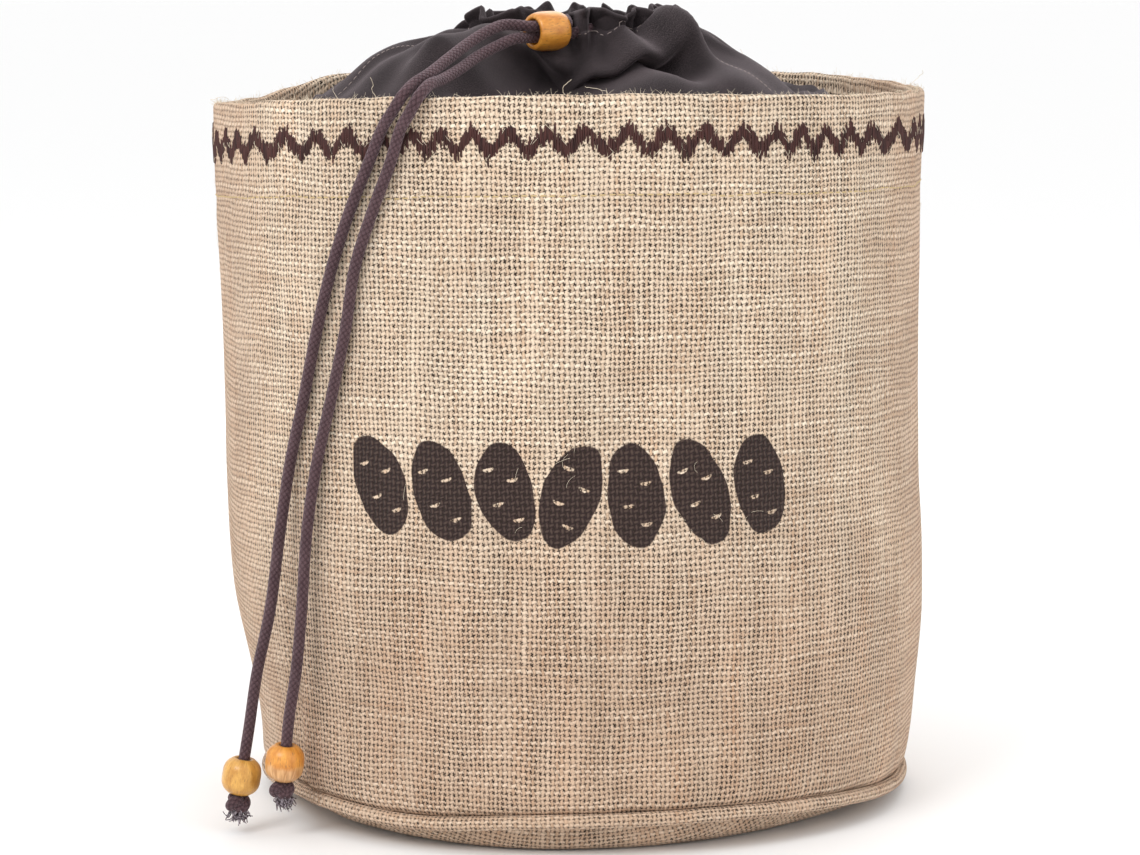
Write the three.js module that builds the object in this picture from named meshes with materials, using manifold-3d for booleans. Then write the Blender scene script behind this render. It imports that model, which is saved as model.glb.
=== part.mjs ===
// Potato storage bag: a round bag of coarse jute on a piped base, with a dark
// cotton lining gathered shut above the rim by two cords that share a bead.
// Millimetres, +Z up. The origin is the middle of the flat base, where the bag
// stands, and its front faces -Y. Angles are in degrees round the bag, 0 at the
// front and growing towards +X, which is on the right as seen from the front.

import * as THREE from 'three';
import { mergeVertices } from 'three/addons/utils/BufferGeometryUtils.js';
import Module from 'manifold-3d';

const wasm = await Module();
wasm.setup();

// Jute body
const BAG_RADIUS = 130;
const BAG_HEIGHT = 259;
const JUTE_THICKNESS = 1.8;
const HEM_DEPTH = 34;
const HEM_LAYERS = 2;
const SEAM_HEIGHT = 12;
const WELT_RADIUS = 3;
const WELT_PROUD = 0.8;
const BASE_TURN_UP = 10;

// Gathered lining
const LINING_THICKNESS = 1.2;
const LINING_OVERLAP = 32;
const COLLAR_RISE = 28;
const NECK_HALF_WIDTH = 33;
const NECK_HALF_DEPTH = 29;
const NECK_FORWARD = 10;
const PLEAT_DEPTH = 5.5;

// Cords, beads and knots
const CORD_DIAMETER = 4;
const TOGGLE_DIAMETER = 14;
const TOGGLE_LENGTH = 12.4;
const END_BEAD_DIAMETER = 13.6;
const END_BEAD_LENGTH = 12.6;
const BEAD_LIP = 0.9;
const BEAD_ROUNDNESS = 2.4;
const KNOT_WIDTH = 9;
const KNOT_HEIGHT = 6.4;
const KNOT_TILT = 24;
const TUFT_LENGTH = 4;
const TUFT_SPREAD = 2.4;
const TUFT_LOCKS = 7;

// What keeps neighbouring pieces apart
const SEAM_GAP = 0.3;
const BORE_GAP = 0.35;
const CORD_END_GAP = 1.6;

// How finely the pieces are faceted
const COLUMNS = 72;
const WALL_STEPS = 11;
const INNER_WALL_STEPS = 5;
const WELT_STEPS = 5;
const COLLAR_STEPS = 12;
const CORD_SIDES = 8;
const CORD_STEP = 2.2;
const BEAD_SIDES = 14;
const BEAD_STEPS = 6;

const { clamp, degToRad, lerp, smoothstep } = THREE.MathUtils;
const UP = new THREE.Vector3(0, 0, 1);

// A short table: one heading line, then one row for each section or fold
function table(headings, ...rows) {
  const names = headings.split(' ');
  return rows.map((row) => Object.fromEntries(names.map((name, index) => [name, row[index]])));
}

// How far the standing bag's side is from round, as shares of its radius
const SIDE_SECTIONS = table(
  'height front right back left corner',
  [0.00, 0.975, 0.940, 0.965, 0.915, 0.000],
  [0.055, 0.980, 0.975, 0.972, 0.925, 0.006],
  [0.09, 0.982, 0.992, 0.976, 0.930, 0.014],
  [0.18, 0.985, 0.994, 0.982, 0.930, 0.018],
  [0.28, 0.990, 1.012, 0.985, 0.958, 0.020],
  [0.38, 0.990, 1.004, 0.986, 0.976, 0.018],
  [0.55, 0.988, 0.990, 0.986, 0.984, 0.018],
  [0.72, 0.990, 0.992, 0.988, 0.990, 0.020],
  [0.85, 0.994, 0.990, 0.990, 1.002, 0.018],
  [1.00, 1.000, 0.996, 0.992, 1.006, 0.012],
);

// Soft creases and hollows pressed into the side: angles in degrees, heights
// as shares of the bag's and depths as shares of its radius, out of the bag +
const DENTS = table(
  'angle height wide tall depth',
  [48, 0.78, 7, 0.20, 0.012],
  [58, 0.74, 9, 0.22, -0.012],
  [-46, 0.70, 10, 0.26, 0.008],
  [-28, 0.20, 20, 0.12, -0.014],
  [24, 0.14, 16, 0.10, 0.010],
  [62, 0.10, 12, 0.09, 0.014],
  [6, 0.88, 24, 0.07, -0.008],
  [-64, 0.44, 14, 0.14, 0.008],
  [118, 0.52, 18, 0.24, -0.012],
  [152, 0.30, 16, 0.18, 0.012],
  [-152, 0.60, 22, 0.22, -0.012],
  [-118, 0.36, 16, 0.20, 0.012],
);

// The rim's slow rise and fall, and the base seam's, as shares of their height
const RIM_LINE = table(
  'angle lift',
  [-180, 0.020],
  [-140, 0.016],
  [-112, -0.020],
  [-75, -0.018],
  [-40, -0.005],
  [0, 0.003],
  [14, 0.004],
  [45, 0.000],
  [90, 0.000],
  [130, 0.012],
  [180, 0.020],
);
const SEAM_LINE = table(
  'angle lift tuck',
  [-180, -0.10, 1.0],
  [-100, -0.40, 0.9],
  [-75, -0.30, 1.2],
  [-48, -0.05, 1.6],
  [-26, -0.22, 1.0],
  [-6, 0.03, 0.6],
  [25, 0.08, 1.1],
  [46, -0.08, 1.7],
  [64, -0.32, 1.5],
  [85, -0.48, 1.0],
  [180, -0.10, 1.0],
);

// The lining from its seam under the hem to the frill round the neck: reach is
// 0 at the neck and 1 at the rim, rise a share of the collar's, below the rim
// a share of the overlap, and pleat the share of the pleats' depth
const COLLAR_ROWS = table(
  'reach rise pleat',
  [1.000, -1.00, 0.00],
  [0.975, -0.90, 0.00],
  [0.850, -0.60, 0.06],
  [0.710, -0.22, 0.16],
  [0.590, 0.10, 0.30],
  [0.480, 0.34, 0.45],
  [0.370, 0.46, 0.60],
  [0.260, 0.57, 0.80],
  [0.150, 0.68, 0.90],
  [0.050, 0.72, 0.85],
  [0.000, 0.78, 0.70],
  [0.010, 0.89, 0.90],
  [0.035, 1.00, 1.10],
);

// Gathered pleats round the neck: each one's angle, half width and height
const PLEATS = table(
  'angle wide high',
  [-172, 12, 1.0],
  [-150, 10, 0.8],
  [-131, 10, 1.1],
  [-110, 11, 0.8],
  [-92, 9, 1.0],
  [-72, 10, 1.2],
  [-54, 9, 0.9],
  [-37, 9, 1.3],
  [-18, 8, 0.5],
  [1, 8, 0.1],
  [22, 10, 0.9],
  [41, 10, 1.3],
  [60, 9, 0.9],
  [79, 10, 1.2],
  [99, 10, 0.8],
  [118, 9, 1.1],
  [138, 11, 0.9],
  [160, 11, 1.2],
);

// Larger folds and hollows of the collar: where, how wide in degrees, where
// along the reach and how far along it, and their rise as a share of the collar
const COLLAR_FOLDS = table(
  'angle wide reach along rise',
  [20, 24, 0.44, 0.14, 0.14],
  [24, 20, 0.26, 0.14, -0.20],
  [-32, 18, 0.42, 0.20, 0.20],
  [-6, 26, 0.62, 0.20, -0.36],
  [0, 28, 0.19, 0.20, -0.46],
  [40, 12, 0.20, 0.20, 0.14],
  [-66, 16, 0.40, 0.20, 0.12],
  [-92, 20, 0.30, 0.20, 0.10],
  [86, 40, 0.62, 0.26, -0.26],
  [112, 20, 0.46, 0.24, 0.14],
  [165, 26, 0.50, 0.26, 0.16],
  [-142, 24, 0.48, 0.26, 0.14],
);

// The toggle bead lies on the collar's front slope, its bore pointing to the
// front left, and the cords in it lie one above the other, leaning back
const TOGGLE_PLACE = new THREE.Vector3(-8, -55, 280);
const TOGGLE_AXIS = new THREE.Vector3(-0.82, -0.57, -0.04).normalize();
const CORDS_LEAN = -25;

// Each cord leaves the gathered neck at an angle and a place in COLLAR_ROWS, and
// goes through the toggle and by chosen points over the rim to its end bead's top
const CORDS = [
  {
    name: 'left',
    exit: { angle: -2, place: 10.8, tilt: 0 },
    above: 1,
    route: [
      [-22.5, -66, 282.3], [-28, -72.5, 280.4], [-34.5, -82, 276.4], [-41, -95, 271.4],
      [-47.5, -108.5, 266.2], [-52.6, -117.4, 262.8], [-56.2, -122.2, 258.8], [-59.4, -121.4, 253.8],
      [-62.5, -119, 249], [-67.4, -116, 237.3], [-74.5, -111.7, 220], [-81, -107.2, 200.5],
      [-86.5, -102.7, 179], [-91.4, -98.2, 156], [-97, -92.8, 131.3], [-100.6, -93, 108],
      [-104.3, -94, 80.5], [-109.5, -90.5, 57], [-112.5, -88.7, 38], [-114.4, -88.5, 26.5],
    ],
  },
  {
    name: 'right',
    exit: { angle: 10, place: 9.8, tilt: 22 },
    above: -1,
    route: [
      [-19.8, -66, 277.3], [-25.3, -72.5, 275], [-32, -82, 271.4], [-38, -95, 267.2],
      [-43.7, -108.5, 264], [-47.4, -119, 262.6], [-50.8, -124.6, 258.4], [-53.6, -123.8, 253.4],
      [-56.7, -121.4, 248], [-60, -119.8, 237.4], [-66.8, -116.1, 219.5], [-72.8, -112.5, 201],
      [-76.4, -109.7, 179.5], [-81.4, -105.9, 156.8], [-87.1, -101.5, 132.5], [-90.7, -100.5, 109.4],
      [-92.8, -100.9, 81.5], [-95, -99.3, 60], [-97.8, -96.9, 43], [-98.9, -96.2, 33],
    ],
  },
];

// Where a curve through a table's rows meets a value of its key column
function placeOf(rows, key, value) {
  const above = rows.findIndex((row, index) => index > 0 && row[key] >= value);
  const next = above < 0 ? rows.length - 1 : above;
  const span = rows[next][key] - rows[next - 1][key];
  return next - 1 + clamp((value - rows[next - 1][key]) / span, 0, 1);
}

// One column of a table at a place between its rows, on a smooth curve
function between(rows, column, place) {
  const row = clamp(Math.floor(place), 0, rows.length - 2);
  const t = place - row;
  const at = (index) => rows[clamp(index, 0, rows.length - 1)][column];
  const [before, start, end, after] = [at(row - 1), at(row), at(row + 1), at(row + 2)];
  const bend = 2 * before - 5 * start + 4 * end - after;
  const twist = 3 * start - before - 3 * end + after;
  return start + 0.5 * t * (end - before + t * (bend + t * twist));
}

// A rounded bump, 1 in its middle and 0 from its edge on
function bump(offset, half) {
  const share = Math.abs(offset) / half;
  return share < 1 ? 0.5 + 0.5 * Math.cos(Math.PI * share) : 0;
}

// An angle brought into -180 to 180 degrees
function turned(angle) {
  return THREE.MathUtils.euclideanModulo(angle + 180, 360) - 180;
}

function lineAt(rows, column, angle) {
  return between(rows, column, placeOf(rows, 'angle', turned(angle)));
}

function rimHeight(angle) {
  return BAG_HEIGHT * (1 + lineAt(RIM_LINE, 'lift', angle));
}

function seamHeight(angle) {
  return SEAM_HEIGHT * (1 + lineAt(SEAM_LINE, 'lift', angle));
}

// Outside radius of the jute at an angle and a share of the bag's height
function sideRadius(angle, share) {
  const turn = degToRad(angle);
  const [ahead, aside] = [Math.cos(turn), Math.sin(turn)];
  const place = placeOf(SIDE_SECTIONS, 'height', share);
  const section = (column) => between(SIDE_SECTIONS, column, place);
  const lengthways = section(ahead > 0 ? 'front' : 'back') * ahead ** 2;
  const sideways = section(aside > 0 ? 'right' : 'left') * aside ** 2;
  const corners = section('corner') * Math.sin(2 * turn) ** 2;
  const dents = DENTS.reduce((sum, dent) => sum
    + dent.depth * bump(turned(angle - dent.angle), dent.wide) * bump(share - dent.height, dent.tall), 0);
  return BAG_RADIUS * (lengthways + sideways + corners + dents);
}

// A point at an angle, a radius and a height
function polar(angle, radius, height) {
  const turn = degToRad(angle);
  return new THREE.Vector3(radius * Math.sin(turn), -radius * Math.cos(turn), height);
}

// Corners that lie on each other become one, so that the surface is closed
function weld(geometry) {
  geometry.deleteAttribute('normal');
  geometry.deleteAttribute('uv');
  return mergeVertices(geometry, 1e-4);
}

// A body of revolution whose section, a list of points, changes with the angle
function ring(sectionAt, closed = true) {
  const rows = sectionAt(0).length + (closed ? 1 : 0);
  const plain = Array.from({ length: rows }, (_, row) => new THREE.Vector2(1, row));
  const geometry = new THREE.LatheGeometry(plain, COLUMNS);
  const position = geometry.attributes.position;
  for (let column = 0; column <= COLUMNS; column += 1) {
    const section = sectionAt((column % COLUMNS) * 360 / COLUMNS);
    for (let row = 0; row < rows; row += 1) {
      const point = section[row % section.length];
      position.setXYZ(column * rows + row, point.x, point.y, point.z);
    }
  }
  return weld(geometry);
}

// Radius and height of points round part of a circle in the section plane
function arc(radius, height, size, from, to, steps) {
  return Array.from({ length: steps + 1 }, (_, step) => {
    const turn = degToRad(lerp(from, to, step / steps));
    return [radius + size * Math.cos(turn), height + size * Math.sin(turn)];
  });
}

// Bottom of the jute wall, just above the welt
function wallFoot(angle) {
  return seamHeight(angle) + WELT_RADIUS + SEAM_GAP;
}

// The jute wall: one layer, doubled where the rim is turned in to a hem
function wallSection(angle) {
  const foot = wallFoot(angle);
  const hem = JUTE_THICKNESS * HEM_LAYERS;
  const top = rimHeight(angle) - hem / 2;
  const hemFoot = rimHeight(angle) - HEM_DEPTH;
  const skin = (height, depth) => [sideRadius(angle, height / BAG_HEIGHT) - depth, height];
  const heights = (from, to, steps) => Array.from({ length: steps + 1 },
    (_, step) => lerp(from, to, step / steps));
  const outside = heights(foot, top, WALL_STEPS).map((height) => skin(height, 0));
  const rimRadius = sideRadius(angle, top / BAG_HEIGHT) - hem / 2;
  const rim = arc(rimRadius, top, hem / 2, 45, 135, 2);
  const hemInside = heights(top, hemFoot + JUTE_THICKNESS / 2, 2).map((height) => skin(height, hem));
  const inside = heights(hemFoot, foot, INNER_WALL_STEPS).map((height) => skin(height, JUTE_THICKNESS));
  return [...outside, ...rim, ...hemInside, ...inside].map(([radius, height]) => polar(angle, radius, height));
}

// Middle of the piping that joins the wall to the base
function weltRadiusAt(angle) {
  return sideRadius(angle, wallFoot(angle) / BAG_HEIGHT) + WELT_PROUD - WELT_RADIUS;
}

function weltSection(angle) {
  const loop = arc(weltRadiusAt(angle), seamHeight(angle), WELT_RADIUS, 30, -270, WELT_STEPS);
  return loop.reverse().map(([radius, height]) => polar(angle, radius, height));
}

// The base: flat where the bag stands, turned up to the welt round its edge
function baseSection(angle) {
  const edge = weltRadiusAt(angle) - WELT_RADIUS - SEAM_GAP;
  const tuck = BASE_TURN_UP * lineAt(SEAM_LINE, 'tuck', angle);
  const turnUp = (depth) => [0, 45, 90].map((turn) => [
    edge - tuck + (tuck - depth) * Math.sin(degToRad(turn)),
    depth + (seamHeight(angle) - depth) * (1 - Math.cos(degToRad(turn))),
  ]);
  const under = [[0, 0], ...turnUp(0)];
  const over = [...turnUp(JUTE_THICKNESS).reverse(), [0, JUTE_THICKNESS]];
  return [...under, ...over].map(([radius, height]) => polar(angle, radius, height));
}

// Radius of the gathered neck
function neckRadius(angle) {
  const turn = degToRad(angle);
  const centred = 1 / Math.hypot(Math.sin(turn) / NECK_HALF_WIDTH, Math.cos(turn) / NECK_HALF_DEPTH);
  return centred + NECK_FORWARD * Math.cos(turn);
}

// Radius and height of the smooth collar, before its pleats
function collarProfile(angle, place) {
  const reach = between(COLLAR_ROWS, 'reach', place);
  const rise = between(COLLAR_ROWS, 'rise', place);
  const hem = JUTE_THICKNESS * HEM_LAYERS + SEAM_GAP + LINING_THICKNESS / 2;
  const rim = sideRadius(angle, clamp(1 + Math.min(rise, 0) * LINING_OVERLAP / BAG_HEIGHT, 0, 1)) - hem;
  const folds = COLLAR_FOLDS.reduce((sum, fold) => sum
    + fold.rise * bump(turned(angle - fold.angle), fold.wide) * bump(reach - fold.reach, fold.along), 0);
  const level = lerp(BAG_HEIGHT, rimHeight(angle), smoothstep(reach, 0.3, 1));
  const height = level + (rise < 0 ? rise * LINING_OVERLAP : (rise + folds) * COLLAR_RISE);
  return new THREE.Vector2(lerp(neckRadius(angle), rim, reach), height);
}

// Middle surface of the lining, with its pleats standing off the profile
function collarPoint(angle, place) {
  const step = 0.02;
  const here = collarProfile(angle, place);
  const along = collarProfile(angle, place + step).sub(collarProfile(angle, place - step)).normalize();
  const wave = PLEATS.reduce((sum, pleat) => sum
    + pleat.high * bump(turned(angle - pleat.angle), pleat.wide), -0.5);
  const lift = wave * PLEAT_DEPTH * between(COLLAR_ROWS, 'pleat', place);
  return polar(angle, here.x + lift * along.y, here.y - lift * along.x);
}

// The lining's surface at half its thickness to one side of the middle
function collarSkin(angle, place, side) {
  const [turn, step] = [0.2, 0.02];
  const across = collarPoint(angle + turn, place).sub(collarPoint(angle - turn, place));
  const along = collarPoint(angle, place + step).sub(collarPoint(angle, place - step));
  const normal = across.cross(along).normalize();
  return collarPoint(angle, place).addScaledVector(normal, side * LINING_THICKNESS / 2);
}

function collarSection(angle) {
  const places = Array.from({ length: COLLAR_STEPS + 1 },
    (_, step) => step * (COLLAR_ROWS.length - 1) / COLLAR_STEPS);
  const outside = places.map((place) => collarSkin(angle, place, 1));
  const inside = places.reverse().map((place) => collarSkin(angle, place, -1));
  return [...outside, ...inside];
}

// Several closed surfaces joined into one
function fuse(geometries) {
  const solids = geometries.map((geometry) => {
    const { index, attributes } = weld(geometry);
    return new wasm.Manifold(new wasm.Mesh({
      numProp: 3,
      vertProperties: Float32Array.from(attributes.position.array),
      triVerts: Uint32Array.from(index.array),
    }));
  });
  const { vertProperties, triVerts } = solids.reduce((whole, solid) => whole.add(solid)).getMesh();
  const joined = new THREE.BufferGeometry();
  joined.setAttribute('position', new THREE.BufferAttribute(vertProperties, 3));
  joined.setIndex(new THREE.BufferAttribute(triVerts, 1));
  return joined;
}

// A barrel-shaped wooden bead along Y, drilled through
function beadGeometry(diameter, length, bore) {
  const face = bore + BEAD_LIP;
  const bulge = Array.from({ length: BEAD_STEPS + 1 }, (_, step) => {
    const share = 2 * step / BEAD_STEPS - 1;
    return new THREE.Vector2(lerp(diameter / 2, face, Math.abs(share) ** BEAD_ROUNDNESS), share * length / 2);
  });
  const drilled = [new THREE.Vector2(bore, length / 2), new THREE.Vector2(bore, -length / 2)];
  return weld(new THREE.LatheGeometry([...bulge, ...drilled, bulge[0]], BEAD_SIDES));
}

// An overhand knot and the frayed end below it, hanging from its top along -Y
function knotGeometry() {
  const loop = (KNOT_WIDTH - CORD_DIAMETER) / 2;
  const middle = -KNOT_HEIGHT / 2;
  const core = new THREE.SphereGeometry(loop, 6, 5).scale(1, KNOT_HEIGHT / 2 / loop, 1).translate(0, middle, 0);
  const turns = [-1, 1].map((side) => new THREE.TorusGeometry(loop, CORD_DIAMETER / 2, 5, 8)
    .rotateX(Math.PI / 2).rotateZ(side * degToRad(KNOT_TILT)).scale(1, 0.9, 1).translate(0, middle, 0));
  const locks = Array.from({ length: TUFT_LOCKS }, (_, lock) => {
    const turn = 2 * Math.PI * lock / TUFT_LOCKS;
    const reach = TUFT_LENGTH * (lock % 2 ? 1 : 0.85);
    return new THREE.ConeGeometry(CORD_DIAMETER / 4, reach + KNOT_HEIGHT / 2, 4)
      .rotateX(Math.PI).translate(0, -(reach + KNOT_HEIGHT / 2) / 2, 0)
      .rotateX(-Math.atan2(TUFT_SPREAD, TUFT_LENGTH)).rotateY(turn).translate(0, middle, 0);
  });
  const knot = fuse([core, ...turns, ...locks]);
  knot.computeBoundingBox();
  return knot.translate(0, -knot.boundingBox.max.y, 0);
}

// The path of a cord: out of the neck's casing, through the toggle, down its route
function cordCurve({ exit, above, route }) {
  const mouth = collarSkin(exit.angle, exit.place, 1);
  const outward = polar(exit.angle, 1, Math.tan(degToRad(exit.tilt))).normalize();
  const leaving = [CORD_END_GAP, CORD_DIAMETER].map((reach) => mouth.clone().addScaledVector(outward, reach));
  const lift = UP.clone().applyAxisAngle(TOGGLE_AXIS, degToRad(CORDS_LEAN));
  const middle = TOGGLE_PLACE.clone().addScaledVector(lift, above * (CORD_DIAMETER + SEAM_GAP) / 2);
  const threaded = [-0.6, -0.25, 0.25, 0.6].map((share) => middle.clone()
    .addScaledVector(TOGGLE_AXIS, share * TOGGLE_LENGTH));
  const hanging = route.map((point) => new THREE.Vector3(...point));
  const [previous, last] = hanging.slice(-2);
  const down = last.clone().sub(previous).normalize();
  const throughBead = [0.5, 1].map((share) => last.clone().addScaledVector(down, share * END_BEAD_LENGTH));
  return new THREE.CatmullRomCurve3([...leaving, ...threaded, ...hanging, ...throughBead], false, 'centripetal');
}

function cordGeometry(curve) {
  const corners = Array.from({ length: CORD_SIDES }, (_, side) => {
    const turn = 2 * Math.PI * side / CORD_SIDES;
    return new THREE.Vector2(Math.cos(turn), Math.sin(turn)).multiplyScalar(CORD_DIAMETER / 2);
  });
  const steps = Math.round(curve.getLength() / (CORD_STEP * CORD_DIAMETER));
  const sweep = { steps, extrudePath: curve, bevelEnabled: false };
  return weld(new THREE.ExtrudeGeometry(new THREE.Shape(corners), sweep));
}

const finishes = {
  jute: new THREE.MeshStandardMaterial({ color: 0xd2b48c, roughness: 0.95, metalness: 0 }),
  lining: new THREE.MeshStandardMaterial({ color: 0x2c2527, roughness: 0.9, metalness: 0 }),
  cord: new THREE.MeshStandardMaterial({ color: 0x51393f, roughness: 0.9, metalness: 0 }),
  bead: new THREE.MeshStandardMaterial({ color: 0xc98a3c, roughness: 0.45, metalness: 0 }),
};

const bag = new THREE.Group();

function addPiece(name, geometry, finish, parent = bag) {
  const mesh = new THREE.Mesh(geometry, finish);
  mesh.name = name;
  parent.add(mesh);
  return mesh;
}

addPiece('jute_side_wall', ring(wallSection), finishes.jute);
addPiece('base_welt', ring(weltSection), finishes.jute);
addPiece('base_panel', ring(baseSection, false), finishes.jute);
addPiece('lining_collar', ring(collarSection), finishes.lining);

// Stands a piece that was made along Y on a point, with its Y along a direction
function aim(mesh, point, direction) {
  mesh.position.copy(point);
  mesh.quaternion.setFromUnitVectors(new THREE.Vector3(0, 1, 0), direction);
}

const toggleBore = CORD_DIAMETER + SEAM_GAP / 2 + BORE_GAP;
const toggle = addPiece('toggle_bead', beadGeometry(TOGGLE_DIAMETER, TOGGLE_LENGTH, toggleBore), finishes.bead);
aim(toggle, TOGGLE_PLACE, TOGGLE_AXIS);

for (const cord of CORDS) {
  const curve = cordCurve(cord);
  addPiece(`cord_${cord.name}`, cordGeometry(curve), finishes.cord);
  const end = curve.getPointAt(1);
  const upward = curve.getTangentAt(1).negate();
  const bead = beadGeometry(END_BEAD_DIAMETER, END_BEAD_LENGTH, CORD_DIAMETER / 2 + BORE_GAP);
  aim(addPiece(`end_bead_${cord.name}`, bead, finishes.bead),
    end.clone().addScaledVector(upward, END_BEAD_LENGTH / 2), upward);
  aim(addPiece(`knot_${cord.name}`, knotGeometry(), finishes.cord),
    end.clone().addScaledVector(upward, -SEAM_GAP), upward);
}

export default bag;
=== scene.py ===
# %% [markdown]
# # A potato storage bag, dressed in Blender
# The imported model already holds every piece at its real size: the jute side, the piping,
# the base, the gathered lining, two cords, three beads and two knots. This lesson gives
# each of them the surface that the real one has. Everything is in metres, +Z is up, and
# the front of the bag faces -Y.

import bisect
import math
import random

import bmesh
import bpy
import numpy as np
from mathutils import Matrix, Vector, noise
from mathutils.bvhtree import BVHTree


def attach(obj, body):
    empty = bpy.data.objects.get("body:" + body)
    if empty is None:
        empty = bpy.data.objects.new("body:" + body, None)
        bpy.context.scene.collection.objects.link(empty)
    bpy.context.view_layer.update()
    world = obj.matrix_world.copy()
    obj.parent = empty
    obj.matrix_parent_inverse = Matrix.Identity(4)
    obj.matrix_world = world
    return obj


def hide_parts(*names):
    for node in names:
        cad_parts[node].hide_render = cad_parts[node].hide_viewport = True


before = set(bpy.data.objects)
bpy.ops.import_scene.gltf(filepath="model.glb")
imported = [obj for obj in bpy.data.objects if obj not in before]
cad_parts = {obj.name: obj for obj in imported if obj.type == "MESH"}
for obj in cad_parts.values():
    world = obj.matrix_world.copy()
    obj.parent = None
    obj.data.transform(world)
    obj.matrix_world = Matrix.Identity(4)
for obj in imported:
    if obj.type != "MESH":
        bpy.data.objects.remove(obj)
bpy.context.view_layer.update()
MM = 0.001
ROOT = "root"
print("frame:", sorted(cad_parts))

# %% [markdown]
# ## The camera
# The bag was photographed from 1.3 m away with a long lens, a little above its rim and
# looking down by seven degrees. The camera stands in the same place.

# %% Camera
CAMERA_AWAY = 1300 * MM
CAMERA_HEIGHT = 292.35 * MM
CAMERA_DOWN = math.radians(7.0)
CAMERA_LENS = 111.05
CAMERA_SENSOR = 36


def in_scene(name, data):
    """A new object for a mesh, curve, light or camera, put into the scene."""
    thing = bpy.data.objects.new(name, data)
    bpy.context.scene.collection.objects.link(thing)
    return thing


camera = in_scene("camera", bpy.data.cameras.new("camera"))
camera.location = (0, -CAMERA_AWAY, CAMERA_HEIGHT)
camera.rotation_euler = (math.pi / 2 - CAMERA_DOWN, 0, 0)
camera.data.lens = CAMERA_LENS
camera.data.sensor_width = CAMERA_SENSOR
bpy.context.scene.camera = camera
print("camera at", tuple(camera.location))

# %% [markdown]
# ## The cords
# Two ends of one braided cotton drawcord leave the gathered neck, pass through the toggle
# and hang over the rim. They could be curves with a round bevel, but the braid wants a
# mesh with its own UV map, so each curve is turned into a mesh, and its centre line is kept.
# The route is a short list of points, and a centripetal Catmull-Rom curve goes through them,
# because it never loops or overshoots between uneven points.

# %% Routes of the cords
CORD_DIAMETER = 4 * MM
CORD_SIDES = 20
CORD_STEP = 0.8 * MM
SEAM_GAP = 0.3 * MM
TOGGLE_PLACE = Vector((-8, -55, 280)) * MM
TOGGLE_AXIS = Vector((-0.82, -0.57, -0.04)).normalized()
TOGGLE_LENGTH = 12.4 * MM
END_BEAD_LENGTH = 12.6 * MM
CORDS_LEAN = math.radians(-25)
# Where a cord's points lie in the toggle and in its end bead, as shares of their lengths
THREADED_AT = (-0.6, -0.25, 0.25, 0.6)
BEADED_AT = (0.5, 1)

# In millimetres: where each cord leaves the neck, and its way from the toggle down
LEAVES = {
    "left": [(-1.47, -39.95, 283.95), (-1.56, -42.34, 283.95)],
    "right": [(6.95, -39.42, 279.84), (7.34, -41.61, 280.74)],
}
ROUTES = {
    "left": [
        (-22.5, -66, 282.3), (-28, -72.5, 280.4), (-34.5, -82, 276.4), (-41, -95, 271.4),
        (-47.5, -108.5, 266.2), (-52.6, -117.4, 262.8), (-56.2, -122.2, 258.8), (-59.4, -121.4, 253.8),
        (-62.5, -119, 249), (-67.4, -116, 237.3), (-74.5, -111.7, 220), (-81, -107.2, 200.5),
        (-86.5, -102.7, 179), (-91.4, -98.2, 156), (-97, -92.8, 131.3), (-100.6, -93, 108),
        (-104.3, -94, 80.5), (-109.5, -90.5, 57), (-112.5, -88.7, 38), (-114.4, -88.5, 26.5),
    ],
    "right": [
        (-19.8, -66, 277.3), (-25.3, -72.5, 275), (-32, -82, 271.4), (-38, -95, 267.2),
        (-43.7, -108.5, 264), (-47.4, -119, 262.6), (-50.8, -124.6, 258.4), (-53.6, -123.8, 253.4),
        (-56.7, -121.4, 248), (-60, -119.8, 237.4), (-66.8, -116.1, 219.5), (-72.8, -112.5, 201),
        (-76.4, -109.7, 179.5), (-81.4, -105.9, 156.8), (-87.1, -101.5, 132.5), (-90.7, -100.5, 109.4),
        (-92.8, -100.9, 81.5), (-95, -99.3, 60), (-97.8, -96.9, 43), (-98.9, -96.2, 33),
    ],
}


def smooth_way(points, per_span=24):
    """Points close together on a centripetal Catmull-Rom curve through the given ones."""
    ends = [2 * points[0] - points[1], *points, 2 * points[-1] - points[-2]]
    way = []
    for before, start, end, after in zip(ends, ends[1:], ends[2:], ends[3:]):
        reach = [(q - p).length ** 0.5 for p, q in ((before, start), (start, end), (end, after))]
        leave = ((start - before) / reach[0] - (end - before) / (reach[0] + reach[1])
                 + (end - start) / reach[1])
        arrive = ((end - start) / reach[1] - (after - start) / (reach[1] + reach[2])
                  + (after - end) / reach[2])
        for step in range(per_span):
            t = step / per_span
            way.append((2 * t**3 - 3 * t**2 + 1) * start + (t**3 - 2 * t**2 + t) * reach[1] * leave
                       + (3 * t**2 - 2 * t**3) * end + (t**3 - t**2) * reach[1] * arrive)
    return way + [points[-1]]


def evenly(way, step):
    """The same way again, with its points about one step apart."""
    line = np.array([tuple(point) for point in way])
    along = np.concatenate([[0], np.cumsum(np.linalg.norm(np.diff(line, axis=0), axis=1))])
    places = np.linspace(0, along[-1], max(2, round(along[-1] / step)) + 1)
    return [Vector(np.interp(place, along, column) for column in line.T) for place in places], along[-1]


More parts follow.
